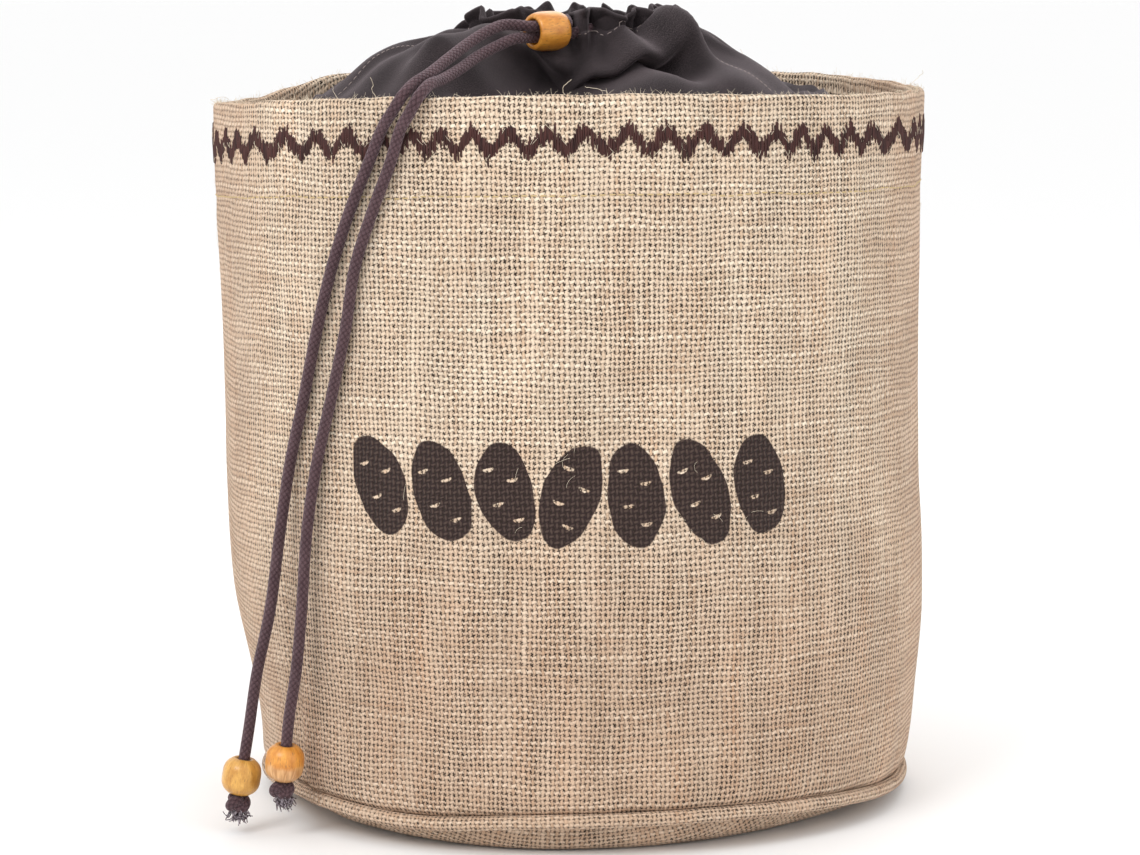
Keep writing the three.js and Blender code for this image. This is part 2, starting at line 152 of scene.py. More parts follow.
def cord_way(name, above):
    """The centre line of one cord, from the neck's casing to the middle of its knot."""
    lift = Matrix.Rotation(CORDS_LEAN, 3, TOGGLE_AXIS) @ Vector((0, 0, 1))
    middle = TOGGLE_PLACE + lift * above * (CORD_DIAMETER + SEAM_GAP) / 2
    threaded = [middle + TOGGLE_AXIS * share * TOGGLE_LENGTH for share in THREADED_AT]
    leaving = [Vector(point) * MM for point in LEAVES[name]]
    hanging = [Vector(point) * MM for point in ROUTES[name]]
    down = (hanging[-1] - hanging[-2]).normalized()
    through_bead = [hanging[-1] + down * share * END_BEAD_LENGTH for share in BEADED_AT]
    return evenly(smooth_way([*leaving, *threaded, *hanging, *through_bead]), CORD_STEP)


CORD_WAYS = {"left": cord_way("left", 1), "right": cord_way("right", -1)}
for side, (way, length) in CORD_WAYS.items():
    print(f"cord_{side}: {length * 1000:.1f} mm, ends at {tuple(round(x * 1000, 1) for x in way[-1])}")

# %% [markdown]
# A curve becomes a tube through its bevel. The tube's UV map is laid in metres, round it
# and along it, because the braid's size is real. One helper makes every tube and every
# bundle of threads in this lesson, and a second one turns a bmesh into a finished piece.

# %% Tubes and pieces
SAME_TUBE_POINT = 1e-7
CORD_ROUND = math.pi * CORD_DIAMETER


def as_piece(name, mesh, slot_name, *replaced):
    """Puts a mesh into the scene as a piece that rides on the bag."""
    piece = in_scene(name, mesh)
    mesh.shade_smooth()
    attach(piece, ROOT)
    if replaced:
        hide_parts(*replaced)
    return piece


def mesh_from(bm, name):
    """A mesh of that name from a finished bmesh."""
    mesh = bpy.data.meshes.new(name)
    bm.to_mesh(mesh)
    bm.free()
    return mesh


def tubes(name, ways, radius, sides=4, capped=True):
    """One mesh of round tubes along several lines of points; radius may vary along each."""
    curve = bpy.data.curves.new(name, "CURVE")
    curve.dimensions = "3D"
    curve.bevel_depth = radius
    curve.bevel_resolution = max(0, (sides - 4) // 2)
    curve.use_fill_caps = capped
    for way in ways:
        spline = curve.splines.new("POLY")
        spline.points.add(len(way) - 1)
        for point, place in zip(spline.points, way):
            point.co = (*place[:3], 1)
            point.radius = place[3] if len(place) > 3 else 1
    holder = in_scene(name, curve)
    mesh = bpy.data.meshes.new_from_object(holder)
    mesh.name = name
    bpy.data.curves.remove(curve)
    bm = bmesh.new()
    bm.from_mesh(mesh)
    bmesh.ops.remove_doubles(bm, verts=bm.verts, dist=SAME_TUBE_POINT)
    bm.to_mesh(mesh)
    bm.free()
    return mesh


def scale_uv(mesh, along, across):
    """Stretches a mesh's UV map, in metres from then on, and names it cloth."""
    layer = mesh.uv_layers[0]
    layer.name = "cloth"
    spots = np.zeros(2 * len(layer.uv), np.float32)
    layer.uv.foreach_get("vector", spots)
    spots = spots.reshape(-1, 2) * (along, across)
    layer.uv.foreach_set("vector", spots.ravel())


cords = {}
for side, (way, length) in CORD_WAYS.items():
    mesh = tubes(f"cord_{side}_braid", [way], CORD_DIAMETER / 2, CORD_SIDES)
    scale_uv(mesh, length, CORD_ROUND)
    cords[side] = as_piece(f"cord_{side}_braid", mesh, "cord", f"cord_{side}")
    print(cords[side].name, len(mesh.polygons), "faces")

# %% [markdown]
# ## The stage
# A plain pale floor, an even white surround and one broad soft light from the upper
# front left. A bag of coarse cloth needs little more: the weave casts its own small
# shadows, and a hard light would only add noise.

# %% Floor and lights
FLOOR_SIZE = 400.0
FLOOR_DROP = 0.2 * MM
FLOOR_COLOUR = (0.92, 0.92, 0.92, 1)
FLOOR_ROUGHNESS = 0.9
SURROUND_STRENGTH = 1.06
LIT_POINT = Vector((0, 0, 0.13))
# Each soft light's place, size and power
LIGHTS = {
    "key_light": ((-1.1, -1.6, 1.7), 1.0, 22),
    "fill_light": ((1.6, -1.2, 1.0), 1.6, 4),
    "back_light": ((0.3, 1.6, 1.6), 1.4, 10),
}

floor_bm = bmesh.new()
bmesh.ops.create_grid(floor_bm, x_segments=1, y_segments=1, size=FLOOR_SIZE / 2,
                      matrix=Matrix.Translation((0, 0, -FLOOR_DROP)))
floor_mesh = mesh_from(floor_bm, "floor")
floor = in_scene("floor", floor_mesh)
floor_finish = bpy.data.materials.new("pale_floor")
floor_finish.use_nodes = True
floor_shader = floor_finish.node_tree.nodes["Principled BSDF"]
floor_shader.inputs["Base Color"].default_value = FLOOR_COLOUR
floor_shader.inputs["Roughness"].default_value = FLOOR_ROUGHNESS
floor_mesh.materials.append(floor_finish)

surround = bpy.data.worlds.new("surround")
surround.use_nodes = True
surround.node_tree.nodes["Background"].inputs["Color"].default_value = (1, 1, 1, 1)
surround.node_tree.nodes["Background"].inputs["Strength"].default_value = SURROUND_STRENGTH
bpy.context.scene.world = surround


def soft_light(name, place, size, power):
    """A square area light of that size, in metres, turned to the middle of the bag."""
    light = in_scene(name, bpy.data.lights.new(name, "AREA"))
    light.data.size = size
    light.data.energy = power
    light.location = place
    light.rotation_euler = (LIT_POINT - Vector(place)).to_track_quat("-Z", "Y").to_euler()


for name, (place, size, power) in LIGHTS.items():
    soft_light(name, place, size, power)
bpy.context.scene.view_settings.view_transform = "Standard"
print("stage ready")

# %% [markdown]
# ## Shader maths in plain Python
# Weave, grain and ink are sums and masks. Wrapping a socket in a small class lets them be
# written as formulas: each operator adds one Math node. Every node comes from one
# function, which takes the node's type, its settings and what goes into its sockets.

# %% Signal and Finish


def plug(tree, socket, value):
    """Sets a socket to a plain value, or links a signal to it."""
    if isinstance(value, Signal):
        tree.links.new(value.socket, socket)
    else:
        socket.default_value = value


def add_node(tree, kind, settings=None, inputs=None, out=0):
    """Adds a node: its settings first, then what goes into its sockets."""
    node = tree.nodes.new(kind)
    for name, value in (settings or {}).items():
        setattr(node, name, value)
    for socket, value in (inputs or {}).items():
        plug(tree, node.inputs[socket], value)
    return Signal(tree, node.outputs[out])


class Signal:
    """A number, colour or vector that varies over a surface: the output of a node."""

    def __init__(self, tree, socket):
        self.tree = tree
        self.socket = socket

    def math(self, operation, *others):
        """Adds a Math node for an operation on this signal and the others."""
        values = dict(enumerate((self, *others)))
        return add_node(self.tree, "ShaderNodeMath", {"operation": operation}, values)

    def __add__(self, other):
        return self.math("ADD", other)

    def __sub__(self, other):
        return self.math("SUBTRACT", other)

    def __rsub__(self, other):
        return (self * -1) + other

    def __mul__(self, other):
        return self.math("MULTIPLY", other)

    def __truediv__(self, other):
        return self.math("DIVIDE", other)

    def __pow__(self, other):
        return self.math("POWER", other)

    def __mod__(self, other):
        return self.math("FLOORED_MODULO", other)

    __radd__ = __add__
    __rmul__ = __mul__

    def floor(self):
        return self.math("FLOOR")

    def cos(self):
        return self.math("COSINE")

    def sin(self):
        return self.math("SINE")

    def size(self):
        return self.math("ABSOLUTE")

    def highest(self, other):
        return self.math("MAXIMUM", other)

    def step(self, low, high):
        """0 below low, 1 above high, and a smooth ramp between them."""
        return add_node(self.tree, "ShaderNodeMapRange", {"interpolation_type": "SMOOTHSTEP"},
                        {"Value": self, "From Min": low, "From Max": high})


class Finish:
    """A material in the making, round its Principled shader."""

    def __init__(self, name, **flat):
        self.material = bpy.data.materials.new(name)
        self.material.use_nodes = True
        self.tree = self.material.node_tree
        self.shader = self.tree.nodes["Principled BSDF"]
        for socket, value in flat.items():
            self.shader.inputs[socket.replace("_", " ")].default_value = value

    def node(self, kind, settings=None, inputs=None, out=0):
        """Adds a node of any kind to this material."""
        return add_node(self.tree, kind, settings, inputs, out)

    def cloth_place(self):
        """The place on the cloth, in metres across and along."""
        place = self.node("ShaderNodeUVMap", {"uv_map": "cloth"})
        across = self.node("ShaderNodeSeparateXYZ", inputs={0: place})
        return across, Signal(self.tree, across.socket.node.outputs[1])

    def at(self, across, along=0.0):
        """Two coordinates as one vector."""
        return self.node("ShaderNodeCombineXYZ", inputs={0: across, 1: along})

    def cloud(self, across, along, detail=2.0, roughness=0.5):
        """Soft noise round 0.5, one grain for each unit of the two coordinates."""
        return self.node("ShaderNodeTexNoise", {"noise_dimensions": "2D"},
                         {"Vector": self.at(across, along), "Scale": 1.0, "Detail": detail,
                          "Roughness": roughness})

    def chance(self, number):
        """A random number from 0 to 1 that stays the same for equal inputs."""
        return self.node("ShaderNodeTexWhiteNoise", {"noise_dimensions": "1D"}, {"W": number})

    def mix(self, share, first, second, blend="MIX"):
        """Two colours mixed: all first at 0, all second at 1."""
        colours = [value if isinstance(value, Signal) else (*value, 1) for value in (first, second)]
        return self.node("ShaderNodeMix", {"data_type": "RGBA", "blend_type": blend},
                         {0: share, 6: colours[0], 7: colours[1]}, out=2)

    def scaled(self, colour, amount):
        """A colour made darker or lighter by a number."""
        return self.node("ShaderNodeVectorMath", {"operation": "SCALE"}, {"Vector": colour, "Scale": amount})

    def paint(self, **signals):
        """Links signals to the shader's own sockets."""
        for socket, value in signals.items():
            plug(self.tree, self.shader.inputs[socket.replace("_", " ")], value)

    def relief(self, height, depth):
        """Bump from a height, with the real depth of one unit of it in metres."""
        normal = self.node("ShaderNodeBump", inputs={"Height": height, "Distance": depth, "Strength": 1.0})
        self.paint(Normal=normal)


print("shader tools ready")

# %% [markdown]
# ## Jute
# Sacking jute is a plain weave of single hairy yarns, about fourteen to the inch. The
# upright yarns are flat and tan, and the crossing ones show as short knuckles, painted paler
# where they lie on top: partly their own tone, partly a painted highlight. Where four yarns
# meet there are small holes, painted dark as the shade inside them. Geometry for 64,000
# crossings would be too heavy, so the weave is a height field: each yarn has a round back that
# rises and dives with a cosine, and the higher of the two families wins. Slow noise moves the
# yarns about, thins them in places, and gives each of them its own tone. The yarns' twist
# slants the knuckles, fine hairs cross the holes, and some holes are half filled with fluff,
# painted in a dimmer shade.

# %% Weave
YARNS_ROUND = 488
BAG_RADIUS = 130 * MM
BAG_ROUND = 2 * math.pi * BAG_RADIUS
YARN_ACROSS = BAG_ROUND / YARNS_ROUND
YARN_UP = 1.87 * MM
YARN_RELIEF = 0.20 * MM
# In yarns: the height of a yarn's round back, how far it rises and dives, how far the
# yarns wander slowly and quickly, and how much a knuckle slants
YARN_BACK = 1.2
YARN_DIVE = 0.75
YARN_WANDER = 1.5
YARN_WIGGLE = 0.45
KNUCKLE_SLANT = 0.26


def weave(finish, across, up, tight):
    """Height of the weave, how far a crossing yarn is on top, and the yarns' own tones.
    Where tight is 1 the yarns lie closer, so the holes are small."""
    wander_across = (finish.cloud(across * 0.10, up * 0.05) - 0.5) * YARN_WANDER
    wander_up = (finish.cloud(across * 0.05 + 31.0, up * 0.10) - 0.5) * YARN_WANDER
    x = across + wander_across
    y = up + wander_up
    column = x.floor()
    row = y.floor()
    aside = x - column - 0.5 - (finish.cloud(column * 3.7, up * 0.45) - 0.5) * YARN_WIGGLE
    above = y - row - 0.5 - (finish.cloud(across * 0.45, row * 3.7 + 19.0) - 0.5) * YARN_WIGGLE
    upright_tone = finish.cloud(column * 0.93, up * 0.035)
    crossing_tone = finish.cloud(across * 0.035 + 57.0, row * 0.93)
    loose = finish.cloud(across * 0.11 + 11.0, up * 0.035 + 5.0).step(0.30, 0.70) * (1 - tight)
    uneven = (finish.cloud(across * 0.9 + 3.0, up * 0.9 + 8.0) - 0.5) * 0.12
    upright_half = 0.270 + upright_tone * 0.12 - loose * 0.055 + uneven + tight * 0.045
    crossing_half = 0.240 + crossing_tone * 0.12 - loose * 0.050 + uneven + tight * 0.065
    turn = (1 - (column % 2) * 2) * (1 - (row % 2) * 2)
    upright_slant = aside + above * KNUCKLE_SLANT * 0.6
    crossing_slant = above - aside * KNUCKLE_SLANT
    upright = YARN_BACK - YARN_BACK * (upright_slant / upright_half) ** 2
    upright = upright + YARN_DIVE * turn * (above * math.pi).cos()
    crossing = YARN_BACK - YARN_BACK * (crossing_slant / crossing_half) ** 2
    crossing = crossing - YARN_DIVE * turn * (aside * math.pi).cos()
    return upright.highest(crossing), (crossing - upright).step(-0.1, 0.5), upright_tone, crossing_tone


print(f"a yarn every {YARN_ACROSS / MM:.2f} mm round the bag and every {YARN_UP / MM:.2f} mm up it")

# %% [markdown]
# The print is ink on the cloth, so it needs no geometry: a mask says where ink lies. One
# potato is drawn round the middle of its cell, and random numbers from the cell's own
# number tilt it, lift it and make it longer, so that no two are the same.

# %% Printed potatoes
PRINT_LOW = 106 * MM
PRINT_HIGH = 147 * MM
PRINT_HALF = 79 * MM
POTATOES = 7
# In millimetres: half a potato's size, and where its eyes are from its middle
POTATO_HALF_WIDE = 10.0
POTATO_HALF_TALL = 17.0
POTATO_EYES = ((-3.4, 8.6), (3.8, 3.4), (-3.0, -3.6), (2.6, -10.4))
EYE_HALF_WIDE = 1.9
EYE_HALF_TALL = 0.65


def printed(finish, across, up):
    """Where ink lies: a row of potatoes, each a little tilted, with small bare eyes."""
    cell = 2 * PRINT_HALF / POTATOES
    number = (across / cell + POTATOES % 2 / 2).floor()
    tilt = (finish.chance(number + 3.5) - 0.5) * 0.8
    lift = (finish.chance(number + 40.5) - 0.5) * 3.0
    aside = (across / cell - number - (1 - POTATOES % 2) / 2) * cell / MM
    above = (up - (PRINT_LOW + PRINT_HIGH) / 2) / MM + lift
    wide = aside * tilt.cos() + above * tilt.sin()
    tall = above * tilt.cos() - aside * tilt.sin()
    lumps = finish.cloud(wide * 0.07 + number * 7.3, tall * 0.07, detail=1.0)
    half_tall = POTATO_HALF_TALL + 2.0 * finish.chance(number + 9.5)
    waist = wide + (finish.chance(number + 21.5) - 0.5) * 0.012 * tall * tall
    body = (waist / POTATO_HALF_WIDE) ** 2 + (tall / half_tall) ** 2 + (lumps - 0.5) * 0.5
    inside = 1 - body.step(0.94, 1.02)
    for place_x, place_y in POTATO_EYES:
        bend = (wide - place_x) ** 2 * 0.10
        eye = ((wide - place_x) / EYE_HALF_WIDE) ** 2 + ((tall - place_y - bend) / EYE_HALF_TALL) ** 2
        inside = inside * eye.step(0.6, 1.4)
    return inside * (1 - (across.size() / PRINT_HALF).step(0.999, 1.0))


print(f"{POTATOES} potatoes over {2 * PRINT_HALF / MM:.0f} mm")

# %% [markdown]
# The colour starts from each yarn's own tone. Grain, painted shade and ink are laid over it.
# The painted shade darkens the yarns' flanks, the side's left and right, and its lower part.
# The holes, painted dark as the shade inside them, come last, because no ink reaches into
# them. The same weave gives the relief.

# %% Jute finish
JUTE_TAN = (0.60, 0.445, 0.315)
JUTE_WARM = (0.64, 0.42, 0.27)
# A pale yarn tone, which is also the painted highlight on the crossing knuckles
JUTE_PALE_AND_HIGHLIGHT = (0.92, 0.79, 0.63)
# Painted shade in the weave's holes: deep where a hole is open, dimmer where fluff half fills it
JUTE_HOLE_SHADE = (0.024, 0.014, 0.009)
JUTE_SHADED = (0.125, 0.080, 0.054)
# Painted shade: no tint, a darker and browner tint for the side's left and right and near the floor, the
# heights in millimetres over which it fades out going up, and how much of it the piping and base get
UNSHADED = (1.0, 1.0, 1.0)
PAINTED_SHADE_TINT = (0.83, 0.755, 0.72)
PAINTED_SHADE_BELOW = (40.0, 170.0)
TRIM_PAINTED_SHADE = 0.9
INK = (0.027, 0.0135, 0.0140)


def jute_finish(name, is_side=False):
    """Jute for one piece. The side of the bag carries the print, and its cloth is pulled
    tighter on the left and right. Painted shade makes it darker and browner there and near the floor."""
    jute = Finish(name, Roughness=0.92, Specular_IOR_Level=0.25, Sheen_Weight=0.04, Sheen_Roughness=0.6)
    across, up = jute.cloth_place()
    threads_across = across / YARN_ACROSS
    threads_up = up / YARN_UP
    if is_side:
        # Painted shade at the left and right, where the cloth is tighter, and near the floor
        tight = (across / BAG_ROUND * 2 * math.pi).sin().size().step(0.72, 0.97)
        painted_shade = tight.highest(1 - (up * 1000).step(*PAINTED_SHADE_BELOW))
    else:
        tight = jute.cloud(threads_across * 0.1, threads_up * 0.1).step(0.3, 0.7)
        # The piping and base, down at the floor, take most of the painted shade
        painted_shade = TRIM_PAINTED_SHADE
    height, on_top, upright_tone, crossing_tone = weave(jute, threads_across, threads_up, tight)
    fibres = jute.cloud(threads_across * 2.5, threads_up * 2.5, detail=3.0)
    patches = jute.cloud(across * 38, up * 22, detail=2.0)
    streaks = jute.cloud(across * 90, up * 9, detail=2.0)
    tan = jute.mix((streaks - 0.35) * 1.6, JUTE_TAN, JUTE_WARM)
    upright = jute.mix((upright_tone - 0.3) * 1.1, tan, JUTE_PALE_AND_HIGHLIGHT)
    crossing = jute.mix((crossing_tone - 0.15) * 1.4, tan, JUTE_PALE_AND_HIGHLIGHT)
    # Crossing yarns on top are paler: partly their own tone, partly a painted highlight on the knuckles
    yarn = jute.mix(on_top, upright, crossing)
    # Grain: fibre and patch tone, with painted shade on the yarns' flanks, painted light on their tops, and a
    # little painted shade at the left and right
    grain = 0.380 + fibres * 0.60 + (patches - 0.5) * 0.22 + height.step(0.2, 1.6) * 0.32 - tight * 0.03
    # The painted shade is multiplied into the yarn's colour
    yarn = jute.mix(1.0, yarn, jute.mix(painted_shade, UNSHADED, PAINTED_SHADE_TINT), "MULTIPLY")
    yarn = jute.scaled(yarn, grain)
    filled = jute.cloud(threads_across * 0.6 + 17.0, threads_up * 0.6 + 23.0).step(0.42, 0.70)
    if is_side:
        ink = printed(jute, across, up + (fibres - 0.5) * 0.5 * MM)
        # Ink, a little lighter on the yarn tops: partly bare fuzz, partly a painted highlight
        ink_and_highlight = jute.mix((height * 0.25).step(0.1, 0.6) * 0.10, INK, JUTE_TAN)
        yarn = jute.mix(ink, yarn, ink_and_highlight)
        filled = filled * (1 - ink)
    winding = jute.cloud((threads_across + threads_up) * 0.9, (threads_up - threads_across) * 0.7, detail=1.0)
    hairs = 0.6 - (winding - 0.5).size() * 22
    # Where the holes are, painted dark as the shade inside them
    holes = 1 - (height.highest(hairs) + fibres - 0.5).step(-0.05, 0.60)
    jute.paint(Base_Color=jute.mix(holes, yarn, jute.mix(filled, JUTE_HOLE_SHADE, JUTE_SHADED)))
    jute.relief(height.highest(-0.6) + fibres * 0.35, YARN_RELIEF)
    return jute.material


side_finish = jute_finish("jute_printed", is_side=True)
trim_finish = jute_finish("jute_plain")
print(len(side_finish.node_tree.nodes), "nodes in the printed jute")

# %% [markdown]
# ## The jute side
# The side is one thick sheet bent into a tube, doubled at the top where it is turned in.
# A line of points is spun round the upright axis, and each point is then moved to where
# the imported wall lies, which a ray finds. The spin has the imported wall's own columns, so
# the coarse tube follows it exactly, and two levels of subdivision round it off. The foot
# turns in behind the piping. Wrinkles, the tuck at the lower left, the pucker along the
# stitching and the ripples above the piping are moved in afterwards, when there are
# enough points to carry them.

# %% Spinning a section round
COLUMNS = 72
SAME_POINT = 1e-6


def polar(angle, radius, height):
    """A point at an angle in degrees from the front, towards +X."""
    turn = math.radians(angle)
    return Vector((radius * math.sin(turn), -radius * math.cos(turn), height))


def turned(angle):
    """An angle brought into -180 to 180 degrees."""
    return (angle + 180) % 360 - 180


def angle_of(point):
    return math.degrees(math.atan2(point[0], -point[1]))


def column_of(angle):
    """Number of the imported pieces' column that stands at an angle."""
    return round(angle / 360 * COLUMNS) % COLUMNS


def merged(node):
    """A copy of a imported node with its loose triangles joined."""
    bm = bmesh.new()
    bm.from_mesh(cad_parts[node].data)
    bmesh.ops.remove_doubles(bm, verts=bm.verts, dist=SAME_POINT)
    return bm


def tree_of(node):
    bm = merged(node)
    tree = BVHTree.FromBMesh(bm)
    bm.free()
    return tree


def revolve(name, rows, place, closed, levels=2, columns=COLUMNS):
    """Spins a line of points and moves each to place(angle, row), which also gives its
    distance along the section. The mesh comes back subdivided as levels says, with that distance kept as an
    attribute for its cloth UV map."""
    bm = bmesh.new()
    line = [bm.verts.new((0, -1, row)) for row in range(rows)]
    pairs = list(zip(line, line[1:] + line[:1])) if closed else list(zip(line, line[1:]))
    edges = [bm.edges.new(pair) for pair in pairs]
    bmesh.ops.spin(bm, geom=line + edges, axis=(0, 0, 1), cent=(0, 0, 0), angle=2 * math.pi,
                   steps=columns, use_merge=True)
    along = bm.verts.layers.float.new("along")
    for vert in bm.verts:
        vert.co, vert[along] = place(angle_of(vert.co), round(vert.co.z))
    bmesh.ops.remove_doubles(bm, verts=bm.verts, dist=SAME_POINT)
    bmesh.ops.recalc_face_normals(bm, faces=bm.faces)
    mesh = mesh_from(bm, name)
    return applied(mesh, "SUBSURF", levels=levels, render_levels=levels)


def applied(mesh, kind, **settings):
    """The mesh with one modifier applied."""
    holder = in_scene("holder", mesh)
    modifier = holder.modifiers.new("step", kind)
    for name, value in settings.items():
        setattr(modifier, name, value)
    done = bpy.data.meshes.new_from_object(holder.evaluated_get(bpy.context.evaluated_depsgraph_get()))
    done.name = mesh.name
    bpy.data.objects.remove(holder)
    bpy.data.meshes.remove(mesh)
    return done


print(COLUMNS, "columns round the bag")

# %% [markdown]
# A woven piece needs a UV map in metres, so that a yarn has the same size everywhere. Its
# first number is the way round the bag. Its second is the way along the cloth, which each
# point brings from the spin as an attribute. The outside takes its true height instead.

# %% Points and UV map of a cloth


def points_of(mesh):
    spots = np.zeros(3 * len(mesh.vertices), np.float32)
    mesh.vertices.foreach_get("co", spots)
    return spots.reshape(-1, 3).astype(float)


def move_points(mesh, spots):
    mesh.vertices.foreach_set("co", spots.astype(np.float32).ravel())
    mesh.update()


def lay_cloth(mesh, across_of):
    """A UV map in metres: across_of gives the way round for points and distances along
    the section, and faces that cross the back have their far corners carried on."""
    layer = mesh.uv_layers.new(name="cloth")
    along = np.zeros(len(mesh.vertices), np.float32)
    mesh.attributes["along"].data.foreach_get("value", along)
    corner = np.zeros(len(mesh.loops), np.int32)
    mesh.loops.foreach_get("vertex_index", corner)
    across, up = across_of(points_of(mesh), along.astype(float))
    across = across[corner].reshape(-1, 4)
    wrapped = np.where(across.max(1, keepdims=True) - across > BAG_ROUND / 2, across + BAG_ROUND, across)
    spots = np.stack([wrapped.ravel(), up[corner]], axis=1).astype(np.float32)
    layer.uv.foreach_set("vector", spots.ravel())
    mesh.attributes.remove(mesh.attributes["along"])


TRUE_HEIGHT_BELOW = 252 * MM


def way_round(spots, along):
    """Across is the way round the bag, and up is the distance along the section."""
    return np.arctan2(spots[:, 0], -spots[:, 1]) / (2 * math.pi) * BAG_ROUND, along


def up_the_side(spots, along):
    """As way_round, with the true height on the outside, where the print and the rows of
    yarn have to be level."""
    across = way_round(spots, along)[0]
    return across, np.where(along < TRUE_HEIGHT_BELOW, spots[:, 2], along)


print("the cloth's map is level up to", TRUE_HEIGHT_BELOW, "m")

# %% [markdown]
# Before the side is drawn it is measured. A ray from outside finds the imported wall's
# radius at any height, and the wall's corners give its foot and rim in every column.

# %% Measuring the wall
JUTE_THICKNESS = 1.8 * MM
HEM_THICKNESS = 3.6 * MM
HEM_DEPTH = 34 * MM
TRIM_BELOW_RIM = 15.5 * MM
FAR = 0.3

wall = tree_of("jute_side_wall")


def wall_radius(angle, height):
    """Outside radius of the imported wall."""
    start = polar(angle, FAR, height)
    hit = wall.ray_cast(start, polar(angle, -1, 0))[0]
    return math.hypot(hit.x, hit.y)


def corners_by_column(node):
    """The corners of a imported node, sorted by the column that they stand in."""
    bm = merged(node)
    found = {column: [] for column in range(COLUMNS)}
    for vert in bm.verts:
        found[column_of(angle_of(vert.co))].append(vert.co.copy())
    bm.free()
    return found


WALL_ENDS = {}
for column, corners in corners_by_column("jute_side_wall").items():
    heights = [corner.z for corner in corners]
    WALL_ENDS[column] = (min(heights), max(heights))


def ends_at(angle):
    """Height of the wall's foot and rim at an angle, between the columns too."""
    place = (angle % 360) / 360 * COLUMNS
    first = math.floor(place)
    share = place - first
    low = [WALL_ENDS[(first + step) % COLUMNS] for step in (0, 1)]
    return tuple(low[0][end] * (1 - share) + low[1][end] * share for end in (0, 1))


print("foot and rim at the front:", [round(end / MM, 1) for end in ends_at(0)], "mm")

# %% [markdown]
# The section runs up the outside, over the rounded rim and down the inside, where the
# turned-in hem makes the wall twice as thick. Its rows lie closer where it bends.

# %% The side's section
# The turned-in foot's points: how far inside the wall, and how high over its lower edge
FOOT_TURN = ((3.6 * MM, -2.8 * MM), (2.6 * MM, -0.9 * MM), (0.5 * MM, 0.7 * MM), (-0.5 * MM, 3.6 * MM))
# The rows above the foot: evenly between two heights, and closer under the shoulder
EVEN_ROWS = 9
FIRST_OVER_FOOT = 14 * MM
LAST_UNDER_SHOULDER = 20 * MM
NEAR_RIM = (9 * MM, 4.5 * MM, 2 * MM, 0)
RIM_TURNS = (25, 57, 90, 123, 155)


def side_section(angle):
    """The wall's closed section: up the outside, over the rim and down the inside."""
    foot, rim = ends_at(angle)
    shoulder = rim - HEM_THICKNESS / 2
    first = foot + FIRST_OVER_FOOT
    last = shoulder - LAST_UNDER_SHOULDER
    heights = [first + (last - first) * step / (EVEN_ROWS - 1) for step in range(EVEN_ROWS)]
    heights += [shoulder - step for step in NEAR_RIM]
    foot_radius = wall_radius(angle, foot + 0.2 * MM)
    outside = [(foot_radius - depth, foot + step) for depth, step in FOOT_TURN]
    outside += [(wall_radius(angle, height), height) for height in heights]
    top_radius = outside[-1][0] - HEM_THICKNESS / 2
    over = [(top_radius + HEM_THICKNESS / 2 * math.cos(math.radians(turn)),
             shoulder + HEM_THICKNESS / 2 * math.sin(math.radians(turn))) for turn in RIM_TURNS]
    hem_foot = rim - HEM_DEPTH
    inside = [(wall_radius(angle, height) - depth, height) for height, depth in (
        (shoulder, HEM_THICKNESS), (shoulder - 3 * MM, HEM_THICKNESS), (hem_foot + 14 * MM, HEM_THICKNESS),
        (hem_foot + 1 * MM, HEM_THICKNESS), (hem_foot - 1 * MM, JUTE_THICKNESS),
        (hem_foot - 70 * MM, JUTE_THICKNESS), (foot + 70 * MM, JUTE_THICKNESS),
        (foot + 5 * MM, JUTE_THICKNESS))]
    inside.append((foot_radius - FOOT_TURN[0][0] - JUTE_THICKNESS, foot + FOOT_TURN[0][1]))
    return [*outside, *over, *inside]


SIDE_SECTIONS = {column: side_section(column * 360 / COLUMNS) for column in range(COLUMNS)}
SIDE_ROWS = len(SIDE_SECTIONS[0])
SHOULDER_ROW = len(FOOT_TURN) + EVEN_ROWS + len(NEAR_RIM) - 1


def side_place(angle, row):
    """Where a point of the side goes, and its distance up the cloth and over the rim,
    which is its height at the shoulder."""
    section = SIDE_SECTIONS[column_of(angle)]
    radius, height = section[row]
    first, last = sorted((row, SHOULDER_ROW))
    way = sum(math.dist(section[k], section[k + 1]) for k in range(first, last))
    along = section[SHOULDER_ROW][1] + math.copysign(way, row - SHOULDER_ROW)
    return polar(angle, radius, height), along


side_mesh = revolve("jute_side", SIDE_ROWS, side_place, closed=True)
print(SIDE_ROWS, "rows in the section,", len(side_mesh.vertices), "points in the side")

# %% [markdown]
# Cloth that has been folded and sewn is never smooth. Slow noise gives the folds, bell
# curves round a seam give its pucker, and a crease at the lower left takes the cloth in.
# All of it moves the finished points along the radius, and only the rim also up and down.

# %% Wrinkles of the side


def ripple(place, size, seed):
    """Slow noise from -1 to 1 at a place, in metres, with grains of that size."""
    return noise.noise(Vector((place[0] / size[0], place[1] / size[1], seed)))


def near(value, middle, reach):
    """1 at the middle, and a bell curve to nothing on both sides of it."""
    return math.exp(-(((value - middle) / reach) ** 2))


def ramp(value, low, high):
    """0 below low, 1 above high, smooth between."""
    share = min(max((value - low) / (high - low), 0), 1)
    return share * share * (3 - 2 * share)


TUCK_DEPTH = 5.5 * MM
CREASE_DEPTH = 2.6 * MM


def tucked(angle, height):
    """The lower left of the bag falls in behind an upright crease: how far, as a length
    out of the bag. The piping and the base follow it."""
    low = 1 - ramp(height, 14 * MM, 80 * MM)
    inward = ramp(-angle, 49, 58) * (1 - ramp(-angle, 92, 130)) * low
    crease = near(angle, -51, 1.9) * (1 - ramp(height, 50 * MM, 110 * MM))
    return -(TUCK_DEPTH * inward + CREASE_DEPTH * crease)


